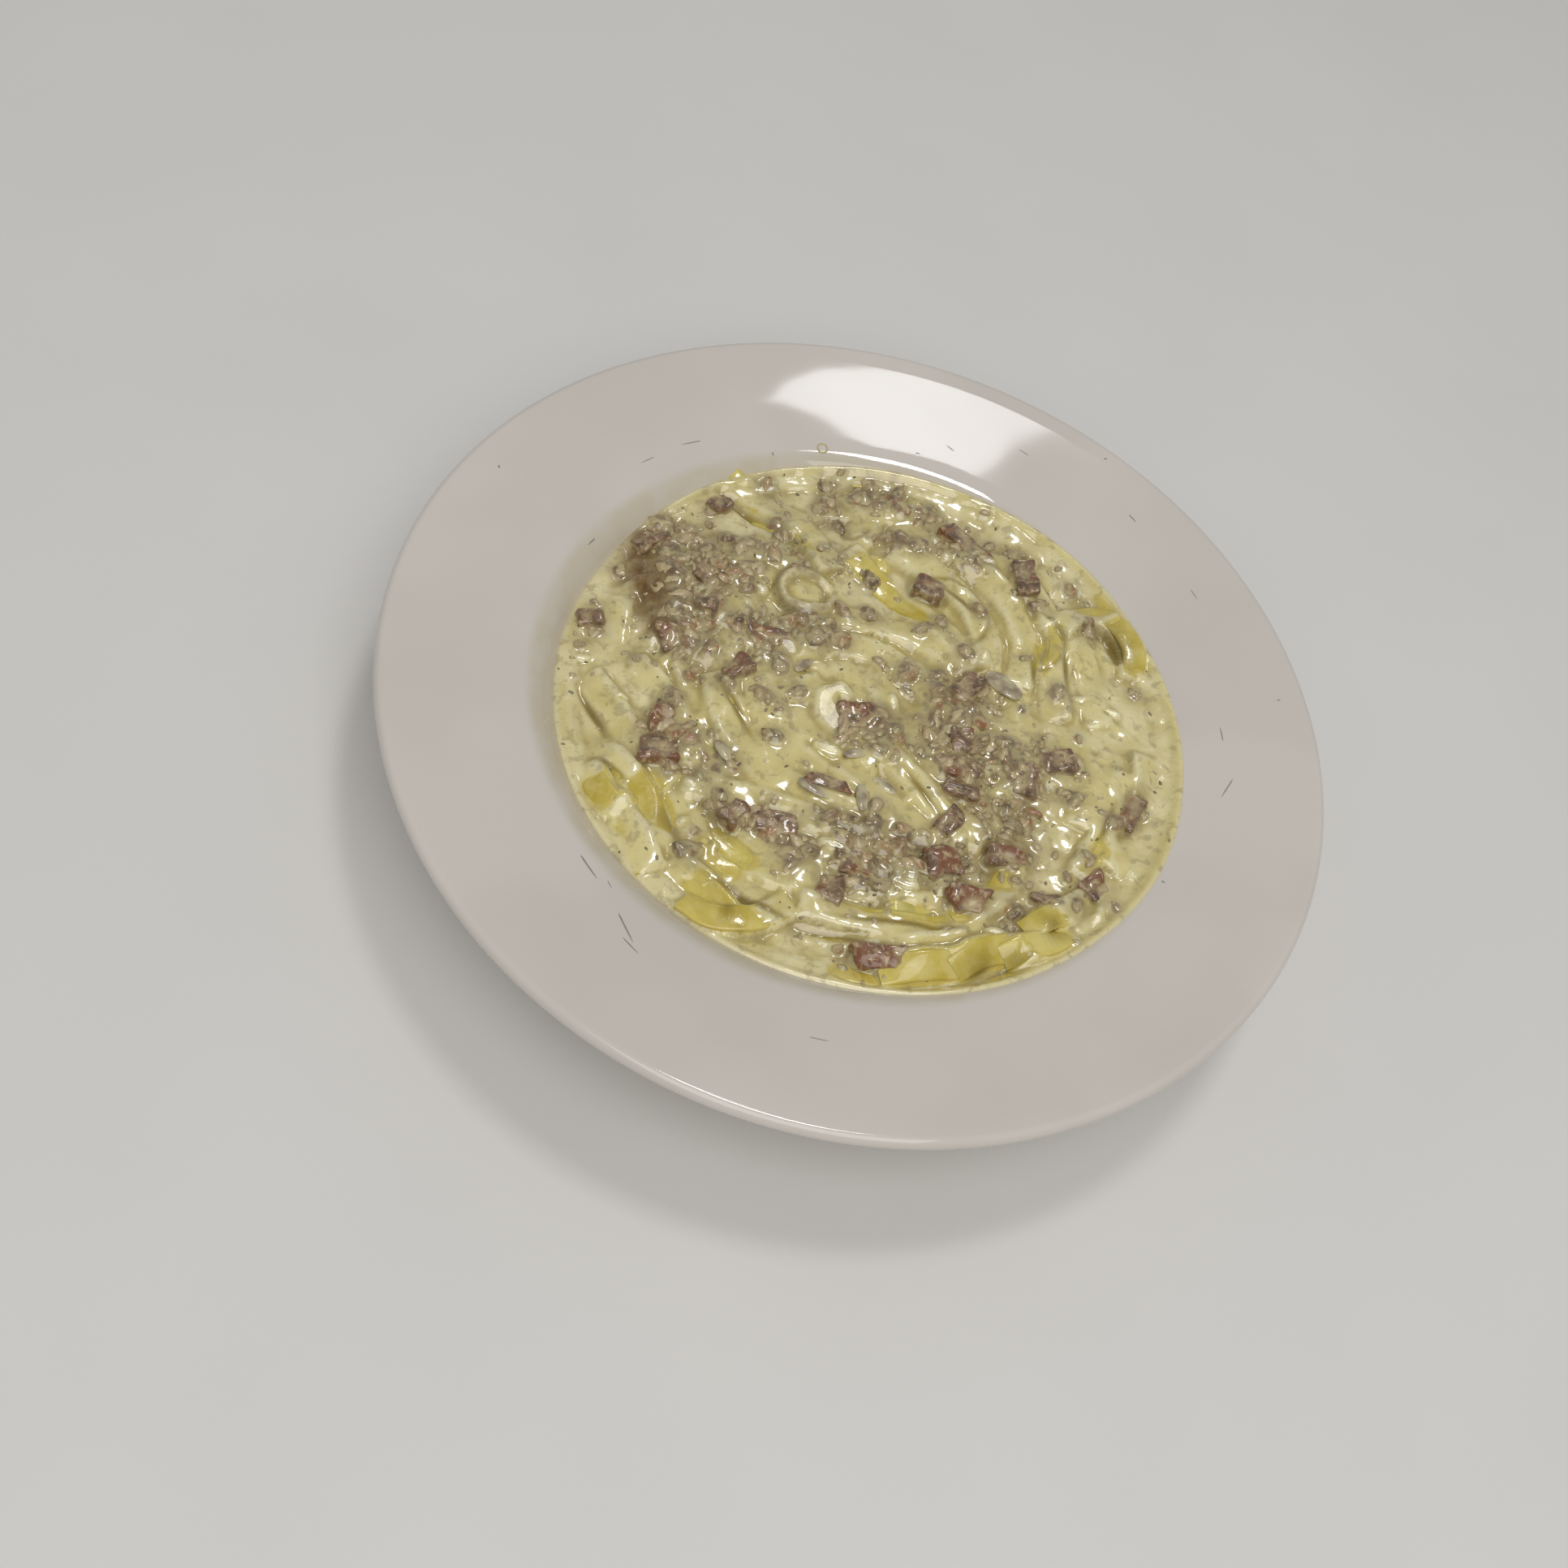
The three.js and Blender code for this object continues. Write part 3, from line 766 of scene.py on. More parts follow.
# %% [markdown]
# ## Where the bacon lies
# The bigger pieces have their places in the frame: the long axis of each is found from its points. Smaller
# bits and crumbs are scattered with a seeded die, thickly where the sauce is mottled and thinly elsewhere.
# All are pressed into the cream, which swells over them and is stained brown where it is thin.

# %% Places of the bacon and the crumbs
BITS = 320
CRUMBS = 640
FLECKS = 220


def place_of(name):
    """The middle, long and short size, thickness and heading of a piece, from its points."""
    points = points_of(nodes[name])
    middle = (points.min(axis=0) + points.max(axis=0)) / 2
    flat = points[:, :2] - points[:, :2].mean(axis=0)
    spread, ways = np.linalg.eigh(flat.T @ flat)
    heading = math.atan2(ways[1, 1], ways[0, 1])
    turned = flat @ ways
    long, wide = np.ptp(turned[:, 1]), np.ptp(turned[:, 0])
    return middle, long, wide, np.ptp(points[:, 2]), heading


def raise_dome(field, x, y, long, wide, heading, base, height):
    """Stamps a dome on an oval footprint."""
    reach = max(long, wide) / 2
    steps = np.arange(-reach, reach + 0.1, CELL * 0.8)
    u, v = np.meshgrid(steps, steps)
    out = (u / (long / 2)) ** 2 + (v / (wide / 2)) ** 2
    u, v, out = u[out < 1], v[out < 1], out[out < 1]
    across = x + u * math.cos(heading) - v * math.sin(heading)
    along = y + u * math.sin(heading) + v * math.cos(heading)
    stamp(field, across, along, base + height * (1 - out))


def scatter(amount, density, keep_off):
    spots = []
    while len(spots) < amount:
        x, y = dice.uniform(-98, 106), dice.uniform(-100, 104)
        edge = float(read(inset_map, x, y))
        if edge > keep_off and dice.random() < density(x, y) * (1 - float(read(clear_map, x, y))):
            spots.append((x, y))
    return spots


def crowded(x, y):
    return float(read(mottled_map, x, y))


def small_glints(amount):
    """More shining places, by chance, where the cream is wet and most of them where it is mottled."""
    chance = random.Random(19)
    found = []
    while len(found) < amount:
        x, y = chance.uniform(-90, 98), chance.uniform(-92, 94)
        wet = float(read(inset_map, x, y)) > 6 and float(read(bare_map, x, y)) < 0.2
        if wet and chance.random() < 0.35 + 0.65 * crowded(x, y):
            long, wide = chance.uniform(2.2, 3.8), chance.uniform(1.4, 2.1)
            found.append((x, y, long, wide, chance.uniform(0, 180)))
    return found


bacon_places = {name: place_of(name) for name in bacon_names}
level_map = soften(cream_map, 1.0)
press_map = cream_map.copy()
load_map = np.zeros_like(relief)
stain_map = np.zeros_like(relief)
bacon_heights = {}
for name, (middle, long, wide, thick, heading) in bacon_places.items():
    level = float(read(level_map, middle[0], middle[1]))
    bacon_heights[name] = level + 0.05 * thick
    raise_dome(press_map, middle[0], middle[1], long * 1.15, wide * 1.15, heading, level, 0.4 * thick)
    raise_dome(load_map, middle[0], middle[1], long * 1.8, wide * 1.8, heading, 0, 1.0)
    raise_dome(stain_map, middle[0], middle[1], long * 1.25, wide * 1.25, heading, 0, 1.2)

bits = []
for x, y in scatter(BITS, lambda x, y: 0.03 + 0.97 * crowded(x, y) ** 1.6, 4.0):
    bits.append((x, y, dice.uniform(2.6, 6.2), dice.uniform(0, 3.14)))
for x, y in scatter(CRUMBS, lambda x, y: 0.06 + 0.94 * crowded(x, y) ** 1.4, 2.5):
    bits.append((x, y, 1.2 + 2.0 * dice.random() ** 1.2, dice.uniform(0, 3.14)))
bit_levels = [float(read(level_map, bit[0], bit[1])) for bit in bits]
for (x, y, size, heading), level in zip(bits, bit_levels):
    raise_dome(press_map, x, y, size * 1.6, size * 1.15, heading, level, size * 0.28)
    raise_dome(stain_map, x, y, size * 1.6, size * 1.15, heading, 0, min(1.4, 0.6 + size * 0.15))
    raise_dome(load_map, x, y, size * 2.4, size * 2.4, 0, 0, min(1.0, size * 0.25))
flecks = []
for x, y in scatter(FLECKS, lambda x, y: 0.35 + 0.65 * crowded(x, y), 1.2):
    flecks.append((x, y, dice.uniform(0.6, 1.3), dice.uniform(0, 3.14)))

lumps = np.random.default_rng(5).standard_normal(relief.shape)
broad = soften(lumps, 2.4)
fine = soften(lumps[::-1], 0.9)
broad /= broad.std()
fine /= fine.std()
cream_top = soften(press_map, 0.45)
cream_top += broad * (0.22 + 0.26 * mottled_map) + fine * (0.05 + 0.08 * mottled_map)
cream_top = np.maximum(cream_top, grow(relief, 0.5) + 0.15 - 3.5 * bare_map - 0.3 * crease_map)
glints = SHINING + small_glints(SMALL_GLINTS)
for x, y, *shape in glints:
    here = np.array([x, y, float(read(soften(cream_top, 1.6), x, y))])
    half_way = (EYE - here) / np.linalg.norm(EYE - here) + (LAMP - here) / np.linalg.norm(LAMP - here)
    leaning = here[2] + 0.5 - (half_way[0] * (MAP_X - x) + half_way[1] * (MAP_Y - y)) / half_way[2]
    share = step_up(patch(MAP_X, MAP_Y, x, y, *shape) * (1 + 0.3 * broad), 0.3, 0.55)
    cream_top += (leaning + 0.006 * fine - cream_top) * share
soil_map = np.clip(soften(load_map, 1.6) * 1.2, 0, 1)
stain_map = soften(stain_map, 0.45)
print("bits and crumbs:", len(bits), "flecks:", len(flecks))

# %% [markdown]
# ## The cream
# The cream is one closed shell. A grid is added and its square is drawn out to the round outline of the
# food; each point then takes its height from the map. At the edge the cream ends in a small rounded bead
# against the wall of the well. The open edge is extruded down and in, and closed underneath.

# %% The cream's shell
CREAM_GRID = 300
BEAD = 0.9
BEAD_WIDTH = 1.8
SEAT = 0.3
SKIRT_DEPTH = 9.0
SKIRT_SHARE = 0.86


def cream_heights(x, y):
    """The cream's upper surface at any place, with its bead at the edge."""
    angle = np.arctan2(y - FOOD_Y, x - FOOD_X)
    inset = np.maximum(outline_radius(angle) - np.hypot(x - FOOD_X, y - FOOD_Y), 0)
    wall = wall_height(np.hypot(x, y))
    bead = BEAD * np.sqrt(1 - (1 - np.clip(inset / BEAD_WIDTH, 0, 1)) ** 2) - SEAT
    inner = read(cream_top, x, y)
    share = step_up(inset, 0.3, 4.0)
    edge_x = FOOD_X + outline_radius(angle) * np.cos(angle)
    edge_y = FOOD_Y + outline_radius(angle) * np.sin(angle)
    rim = wall_height(np.hypot(edge_x, edge_y)) + bead
    return np.maximum(rim * (1 - share) + inner * share, wall - SEAT + 0.8 * step_up(inset, 0.3, 2.0))


def cream_shell():
    deselect()
    bpy.ops.mesh.primitive_grid_add(x_subdivisions=CREAM_GRID, y_subdivisions=CREAM_GRID, size=2)
    cream = added("cream_sauce")
    square = np.array([vertex.co for vertex in cream.data.vertices])[:, :2]
    round_x = square[:, 0] * np.sqrt(1 - square[:, 1] ** 2 / 2)
    round_y = square[:, 1] * np.sqrt(1 - square[:, 0] ** 2 / 2)
    angle = np.arctan2(round_y, round_x)
    x = FOOD_X + round_x * outline_radius(angle)
    y = FOOD_Y + round_y * outline_radius(angle)
    z = cream_heights(x, y)
    cream.data.vertices.foreach_set("co", (np.stack([x, y, z], axis=1) * MM).ravel())
    cream.data.update()
    choose(cream)
    bpy.ops.object.mode_set(mode="EDIT")
    bpy.ops.mesh.select_mode(type="EDGE")
    bpy.ops.mesh.select_all(action="DESELECT")
    bpy.ops.mesh.select_non_manifold()
    bpy.ops.mesh.extrude_region_move(TRANSFORM_OT_translate={"value": (0, 0, -SKIRT_DEPTH * MM)})
    middle = (FOOD_X * MM, FOOD_Y * MM, 0)
    bpy.ops.transform.resize(value=(SKIRT_SHARE, SKIRT_SHARE, 1), center_override=middle)
    bpy.ops.mesh.edge_face_add()
    bpy.ops.object.mode_set(mode="OBJECT")
    close_shell(cream)
    smooth_shade(cream, 80)
    return cream


cream = cream_shell()
places = points_of(cream)
cream_x, cream_y = places[:, 0], places[:, 1]
paint(cream, "soil", read(soil_map, cream_x, cream_y))
paint(cream, "stain", np.clip(read(stain_map, cream_x, cream_y), 0, 1))
# brown oil, and painted shade on the heap's steep left flank
paint(cream, "oil", read(oil_and_shade_map, cream_x, cream_y))
paint(cream, "mottle", read(mottled_map, cream_x, cream_y))
paint(cream, "bare", read(bare_map, cream_x, cream_y))
paint(cream, "thin", step_up(read(film_map - pool_map, cream_x, cream_y), -0.1, 1.1))
inland = step_up(read(inset_map, cream_x, cream_y), 1.0, 4.0)
sunk = read(soften(cream_top, 1.5) - cream_top, cream_x, cream_y)
proud = read(cream_top - soften(cream_top, 1.8), cream_x, cream_y)
# painted shade: the cream's hollows are marked to be darkened
paint(cream, "painted_hollow_shade", inland * step_up(sunk, 0.03, 0.5))
# painted highlight: the cream's ridges are marked to be lightened
paint(cream, "ridge", inland * step_up(proud, 0.03, 0.45))
# painted shade: the creases between noodles are marked to be darkened
paint(cream, "painted_crease_shade", read(crease_map, cream_x, cream_y))
paint(cream, "edge", 1 - step_up(read(inset_map, cream_x, cream_y), 0.0, 2.5))
paint(cream, "cover", 1 - inland * (1 - step_up(read(cream_top - relief, cream_x, cream_y), -0.15, 0.3)))
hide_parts("sauce")
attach(cream, "root")
print("cream:", triangles(cream), "triangles")

# %% [markdown]
# ## Ribbons as meshes
# All laid lines become splines of one curve. In a curve whose twist is kept upright, an extrude goes
# straight up; a tilt of a quarter turn lays it flat, and the lean of each point is added to that.

# %% From lines to noodles
UNDER_FILM = 0.3


def ribbon_mesh(name, lines):
    deselect()
    bpy.ops.curve.primitive_bezier_curve_add()
    piece = added(name)
    shape = piece.data
    shape.splines.clear()
    shape.dimensions = "3D"
    shape.twist_mode = "Z_UP"
    shape.extrude = (RIBBON_WIDTH - RIBBON_THICKNESS) / 2 * MM
    shape.bevel_depth = RIBBON_THICKNESS / 2 * MM
    shape.bevel_resolution = 1
    shape.use_fill_caps = True
    for points, tilts, widths in lines:
        spline = shape.splines.new("POLY")
        spline.points.add(len(points) - 1)
        for point, place, tilt, width in zip(spline.points, points, tilts, widths):
            point.co = (*((place - (0, 0, UNDER_FILM)) * MM), 1)
            point.tilt = QUARTER + tilt
            point.radius = width
    bpy.ops.object.convert(target="MESH")
    piece = added(name)
    settle(piece)
    close_shell(piece)
    smooth_shade(piece, 60)
    return piece


def loop_line(middle, radius, first, last, proud, lean):
    steps = max(8, int(math.radians(last - first) * radius / 1.2))
    turns = np.radians(np.linspace(first, last, steps))
    wobble = 1 + 0.06 * np.sin(turns * 2 + middle[0])
    x = middle[0] + radius * wobble * np.cos(turns)
    y = middle[1] + radius * wobble * np.sin(turns) * 0.94
    reach = RIBBON_WIDTH / 2 * math.sin(math.radians(lean))
    level = even_out(read(soften(cream_map, 2.0), x, y), 4.0)
    ends = np.minimum(np.arange(steps), np.arange(steps)[::-1]) / 5
    z = level + proud - reach - 1.6 * (1 - step_up(ends, 0, 1))
    return np.column_stack([x, y, z]), np.full(steps, math.radians(-lean)), np.full(steps, 0.95)


laid_mesh = ribbon_mesh("ribbon_noodles", laid + [loop_line(*loop) for loop in LOOPS])
places = points_of(laid_mesh)
# painted shade: the same creases are marked on the noodles to be darkened
paint(laid_mesh, "painted_crease_shade", read(crease_map, places[:, 0], places[:, 1]))
paint(core, "painted_crease_shade", np.zeros(len(core.data.vertices)))
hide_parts("noodles")
for piece in (laid_mesh, core):
    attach(piece, "root")
print("ribbons:", triangles(laid_mesh), "triangles")

# %% [markdown]
# ## Pieces of bacon
# A piece of fried bacon is a torn cube: its corners are rounded by the fat that ran out, and its faces are
# pitted. A cube is subdivided, rounded with Cast, and roughened by two cloud textures, a coarse one for
# its lumps and a fine one for its pits.

# %% Modelling the bacon
def clouds(name, size_mm):
    texture = bpy.data.textures.new(name, "CLOUDS")
    texture.noise_scale = size_mm * MM
    texture.noise_depth = 2
    return texture


lump_texture = clouds("lumps", 4.2)
pit_texture = clouds("pits", 1.7)


def bacon_piece(name, place, height):
    middle, long, wide, thick, heading = place
    deselect()
    bpy.ops.mesh.primitive_cube_add(size=1)
    piece = added(name + "_fried")
    bpy.ops.object.mode_set(mode="EDIT")
    bpy.ops.mesh.subdivide(number_cuts=5)
    bpy.ops.object.mode_set(mode="OBJECT")
    cast = piece.modifiers.new("round", "CAST")
    cast.factor = dice.uniform(0.5, 0.85)
    cast.radius = 0.56
    taper = piece.modifiers.new("taper", "SIMPLE_DEFORM")
    taper.deform_method = "TAPER"
    taper.deform_axis = dice.choice(["X", "Y"])
    taper.factor = dice.uniform(-0.7, 0.7)
    apply_all(piece)
    piece.scale = (long * MM, wide * MM, thick * MM)
    piece.rotation_euler = (dice.uniform(-0.25, 0.25), dice.uniform(-0.15, 0.15), heading)
    piece.location = (middle[0] * MM, middle[1] * MM, height * MM)
    settle(piece)
    for texture, depth in ((lump_texture, 0.75 * min(long, wide)), (pit_texture, 1.9)):
        displace = piece.modifiers.new(texture.name, "DISPLACE")
        displace.texture = texture
        displace.texture_coords = "LOCAL"
        displace.strength = depth * MM
        displace.mid_level = 0.5
    soften_edges = piece.modifiers.new("soften", "SMOOTH")
    soften_edges.factor = 0.5
    soften_edges.iterations = 1
    subdivision = piece.modifiers.new("fine", "SUBSURF")
    subdivision.levels = 1
    subdivision.render_levels = 1
    apply_all(piece)
    smooth_shade(piece, 80)
    return piece


bacon_pieces = []
for name in bacon_names:
    piece = bacon_piece(name, bacon_places[name], bacon_heights[name])
    points = points_of(piece)
    over = points[:, 2] - cream_heights(points[:, 0], points[:, 1])
    paint(piece, "cream", 1 - step_up(over, 0.0, 1.5))
    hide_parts(name)
    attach(piece, "root")
    bacon_pieces.append(piece)
print("bacon:", sum(triangles(piece) for piece in bacon_pieces), "triangles")

# %% [markdown]
# ## Bits, crumbs and flecks
# Hundreds of bits share eight lumpy models. Each copy gets its own size, turn and place, and all are
# written into one mesh, with a number for each one's tone.

# %% Models of a bit
def lumpy_model(number, subdivisions, lumpiness=0.75):
    deselect()
    bpy.ops.mesh.primitive_ico_sphere_add(subdivisions=subdivisions, radius=0.5)
    model = added(f"lumpy_model_{number}")
    displace = model.modifiers.new("lumps", "DISPLACE")
    displace.texture = clouds(f"lumps_{number}", 520 + 60 * number)
    displace.texture_coords = "LOCAL"
    displace.strength = lumpiness
    displace.mid_level = 0.5
    apply_all(model)
    points = np.array([vertex.co for vertex in model.data.vertices])
    faces = np.array([face.vertices for face in model.data.polygons])
    bpy.data.objects.remove(model)
    return points, faces


def turn_matrix(rise, tip, heading):
    turned = Matrix.Rotation(heading, 3, "Z") @ Matrix.Rotation(tip, 3, "Y") @ Matrix.Rotation(rise, 3, "X")
    return np.array(turned)


def scatter_mesh(name, models, spots):
    """Joins a copy of a model at every spot: place, size along each axis, turn and tone."""
    all_points, all_faces, tones, start = [], [], [], 0
    for number, (place, size, turn, tone) in enumerate(spots):
        points, faces = models[number % len(models)]
        all_points.append((points * size) @ turn.T + place)
        all_faces.append(faces + start)
        tones.append(np.full(len(points), tone))
        start += len(points)
    points = np.vstack(all_points)
    piece = mesh_from(name, (points * MM).tolist(), np.vstack(all_faces).tolist())
    paint(piece, "tone", np.concatenate(tones))
    over = points[:, 2] - cream_heights(points[:, 0], points[:, 1])
    paint(piece, "cream", 1 - step_up(over, 0.1, 1.5))
    smooth_shade(piece, 80)
    return piece


def bit_spots(spots, lift, levels=None):
    placed = []
    for number, (x, y, size, heading) in enumerate(spots):
        shape = np.array([dice.uniform(1.0, 1.6), dice.uniform(0.75, 1.05), dice.uniform(0.6, 0.85)]) * size
        turn = turn_matrix(dice.uniform(-0.3, 0.3), dice.uniform(-0.3, 0.3), heading)
        level = levels[number] if levels else float(cream_heights(np.array([x]), np.array([y]))[0])
        height = level + size * (lift + dice.uniform(-0.05, 0.08))
        placed.append((np.array([x, y, height]), shape, turn, dice.random()))
    return placed


bit_models = [lumpy_model(number, 3) for number in range(8)]
crumb_models = [lumpy_model(number, 2) for number in range(8, 14)]
bit_mesh = scatter_mesh("bacon_bits", bit_models, bit_spots(bits[:BITS], -0.03, bit_levels[:BITS]))
crumb_mesh = scatter_mesh("bacon_crumbs", crumb_models, bit_spots(bits[BITS:], -0.04, bit_levels[BITS:]))
fleck_mesh = scatter_mesh("herb_flecks", crumb_models, bit_spots(flecks, -0.1))
for piece, slot_name in ((bit_mesh, "bacon"), (crumb_mesh, "bacon"), (fleck_mesh, "pasta")):
    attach(piece, "root")
    print(piece.name, triangles(piece), "triangles")

# %% [markdown]
# ## Pale shards
# A few pieces are grey and half clear: fat or onion that has given up its colour. They lie flat in the
# cream and shine.

# %% Shards
SHARDS = [
    (40, 28, 15, 9, -30), (-33, -37, 9, 4.4, -40), (-3, -38.5, 12, 5, -8), (11, -36, 11, 4.6, -72),
    (16, -27, 9, 4.6, -20), (38, -48, 11, 6.5, 5), (4, -20, 8, 4, 30), (-22, 6, 9, 4, 60),
]
shard_spots = []
for x, y, long, wide, heading in SHARDS:
    height = float(read(soften(cream_top, 2.0), x, y)) + 0.3
    turn = turn_matrix(dice.uniform(-0.12, 0.12), dice.uniform(-0.12, 0.12), math.radians(heading))
    shard_spots.append((np.array([x, y, height]), np.array([long, wide, 1.7]), turn, dice.random()))
shard_mesh = scatter_mesh("pale_shards", [lumpy_model(14, 3, 0.6), lumpy_model(15, 3, 0.6)], shard_spots)
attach(shard_mesh, "root")
print("shards:", triangles(shard_mesh), "triangles")

# %% [markdown]
# ## Marks on the rim
# The rim carries a few thin marks and specks, and one small ring of oil beside the well. Each mark is a
# flattened lump drawn out along its line and laid on the slope.

# %% Marks, specks and the oil ring
MARKS = [
    (-85, 75, -90, 70, 0.5), (-40, -105, -33, -112, 0.6), (-57, -92, -50, -97, 0.6),
    (118, 26, 116, 18, 0.5), (105, -20, 106, -20.8, 0.8), (125, 62, 126, 62.6, 0.7),
    (-17, 110, -15.6, 110.4, 0.6), (-62, 85, -61, 84, 0.7), (45, 137, 46, 137.4, 0.7),
    (-137, 26, -136.6, 24.8, 0.7), (-47, -96, -45, -98, 0.4), (-36, -112, -30, -115, 0.4),
    (60, 118, 63, 116, 0.5), (-8, 118, -5, 117, 0.5), (22, -118, 27, -117, 0.4), (112, 40, 110, 45, 0.4),
    (-100, 20, -101, 16, 0.5), (-96, 60, -99, 55, 0.4), (88, 96, 91, 93, 0.4), (16, 128, 20, 127, 0.4),
]


OIL_RING = (-47, 95.5)
OIL_RING_RADIUS = 1.7
OIL_RING_THICKNESS = 0.32


def on_rim(x, y):
    return np.array([x, y, float(wall_height(np.hypot(x, y)))])


def rim_frame(x, y, along):
    """Axes on the slope of the rim: along a direction, across it, and straight up from it."""
    angle = math.atan2(y, x)
    tilt = math.sin(RIM_SLOPE)
    up = np.array([-math.cos(angle) * tilt, -math.sin(angle) * tilt, math.cos(RIM_SLOPE)])
    across = np.cross(up, along / np.linalg.norm(along))
    across /= np.linalg.norm(across)
    return np.column_stack([np.cross(across, up), across, up])


mark_spots = []
for x, y, end_x, end_y, width in MARKS:
    start, end = on_rim(x, y), on_rim(end_x, end_y)
    size = np.array([np.linalg.norm(end - start), width, 0.22])
    mark_spots.append(((start + end) / 2, size, rim_frame(x, y, end - start), dice.random()))
mark_mesh = scatter_mesh("rim_marks", crumb_models, mark_spots)
deselect()
bpy.ops.mesh.primitive_torus_add(major_radius=OIL_RING_RADIUS * MM, minor_radius=OIL_RING_THICKNESS * MM,
                                 major_segments=32, minor_segments=10)
oil_ring = added("oil_ring")
turn = rim_frame(*OIL_RING, np.array([1.0, 0, 0]))
oil_ring.matrix_world = Matrix.Translation(on_rim(*OIL_RING) * MM) @ Matrix(turn.tolist()).to_4x4()
settle(oil_ring)
smooth_shade(oil_ring, 80)
for piece in (mark_mesh, oil_ring):
    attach(piece, "root")
print("marks:", len(MARKS))

# %% [markdown]
# ## Finishes
# Porcelain is nearly white and glossy, with a trace of warmth. Wet cream scatters light under its skin and
# shines on top. Noodles are yellow where the cream has run off. Bacon is brown with paler fat.

# %% Porcelain
plate_places = points_of(plate)
out = np.hypot(plate_places[:, 0], plate_places[:, 1])
# sauce smear on the well's wall near the food, which also paints the shade and yellow light thrown back from
# the food there
paint(plate, "sauce_smear_and_shade", step_up(-out, -106.5, -102.5) * (plate_places[:, 2] > 30))
glaze = Finish("glazed porcelain", Roughness=0.035, IOR=1.5)
cloudy = glaze.noise(60, 2)
china = glaze.mix(glaze.span(cloudy, 0.35, 0.65), colour(210, 203, 194), colour(216, 209, 200))
# sauce smear and painted shade: a yellowish grey on the wall near the food
sauce_smear_and_shade = glaze.math("MULTIPLY", glaze.attribute("sauce_smear_and_shade"), glaze.span(glaze.noise(9, 3), 0.3, 0.7, 0.6, 1.0))
glaze.feed(Base_Color=glaze.mix(sauce_smear_and_shade, china, colour(204, 194, 172)))
glaze.bump(glaze.noise(35, 1), 0.06)
plate.data.materials.append(glaze.material)

# %% Cream
sauce = Finish("wet cream sauce", Roughness=0.2, IOR=1.45, Subsurface_Weight=0.2, Subsurface_Scale=1.0 * MM,
               Coat_Weight=1.0, Coat_Roughness=0.085)
sauce.shader.inputs["Subsurface Radius"].default_value = (1.0, 0.8, 0.4)
drift = sauce.span(sauce.noise(14, 3, 0.55, 0.6), 0.3, 0.7)
pale = sauce.mix(drift, colour(216, 202, 140), colour(238, 227, 176))
over_noodle = sauce.mix(drift, colour(217, 201, 128), colour(228, 214, 144))
body = sauce.mix(sauce.part("thin", 0.75), pale, over_noodle)
# painted shade: a darker yellow in the cream's hollows
body = sauce.mix(sauce.part("painted_hollow_shade", 0.6), body, colour(168, 146, 62))
# painted highlight: paler cream on the ridges
body = sauce.mix(sauce.part("ridge", 0.55), body, colour(240, 231, 188))
body = sauce.mix(sauce.span(sauce.attribute("cover"), 0.0, 0.8, 0.85, 0.0), body, colour(212, 192, 90))
# painted shade: dark colour in the creases between noodles
body = sauce.mix(sauce.part("painted_crease_shade", 0.85), body, colour(124, 102, 24))
body = sauce.mix(sauce.part("edge", 0.8), body, colour(230, 220, 178))
patchy = sauce.span(sauce.noise(5, 4, 0.6, 0.4), 0.35, 0.65)
dusk = sauce.part("soil", sauce.math("ADD", sauce.math("MULTIPLY", patchy, 0.5), 0.35))
body = sauce.mix(dusk, body, colour(160, 146, 108))
cloudy_share = sauce.part("mottle", sauce.span(sauce.noise(7, 3), 0.3, 0.65, 0.15, 0.6))
body = sauce.mix(cloudy_share, body, colour(158, 146, 112))
faint = sauce.span(sauce.noise(4.2, 4, 0.55, 0.3), 0.53, 0.66, 0.0, 0.5)
body = sauce.mix(faint, body, colour(166, 152, 108))
grains = sauce.part("mottle", sauce.span(sauce.cells(3.0), 0.16, 0.42, 0.75, 0.0))
body = sauce.mix(grains, body, colour(124, 104, 78))
bit_tone = sauce.mix(sauce.span(sauce.noise(4.5, 2), 0.4, 0.6), colour(98, 76, 54), colour(136, 108, 80))
bit_tone = sauce.mix(sauce.span(sauce.noise(5.5, 2), 0.54, 0.6), bit_tone, colour(142, 92, 58))
film_gap = sauce.span(sauce.noise(2.4, 3, 0.6), 0.32, 0.62, 0.15, 0.75)
stained = sauce.math("MULTIPLY", sauce.span(sauce.attribute("stain"), 0.15, 0.65), film_gap)
body = sauce.mix(stained, body, bit_tone)
# dark amber of oil, which on the heap's steep left flank is also painted shade
oil_and_shade_share = sauce.part("oil", sauce.math("ADD", sauce.math("MULTIPLY", patchy, 0.3), 0.72))
body = sauce.mix(oil_and_shade_share, body, colour(110, 72, 14))
speck = sauce.span(sauce.noise(1.6, 3, 0.6), 0.58, 0.7, 0.0, 0.25)
body = sauce.mix(speck, body, colour(150, 134, 94))
sauce.feed(Base_Color=body)
sauce.bump(sauce.noise(1.6, 2, 0.5), 0.04)
cream.data.materials.append(sauce.material)

# %% Noodles
pasta = Finish("boiled egg noodle", Roughness=0.25, IOR=1.42, Subsurface_Weight=0.25,
               Subsurface_Scale=1.5 * MM, Coat_Weight=0.9, Coat_Roughness=0.07)
pasta.shader.inputs["Subsurface Radius"].default_value = (1.0, 0.8, 0.3)
depth = pasta.span(pasta.noise(11, 3, 0.55, 0.5), 0.3, 0.7)
noodle_body = pasta.mix(depth, colour(198, 176, 66), colour(220, 203, 106))
smear = pasta.span(pasta.noise(7, 3, 0.5, 0.8), 0.45, 0.7, 0.0, 0.6)
noodle_body = pasta.mix(smear, noodle_body, colour(226, 210, 136))
# painted shade: dark colour in the slits between noodles
painted_slit_shade = pasta.part("painted_crease_shade", 0.6)
pasta.feed(Base_Color=pasta.mix(painted_slit_shade, noodle_body, colour(112, 88, 14)))
pasta.bump(pasta.noise(1.6, 3, 0.5), 0.12)
for piece in (laid_mesh, core):
    piece.data.materials.append(pasta.material)

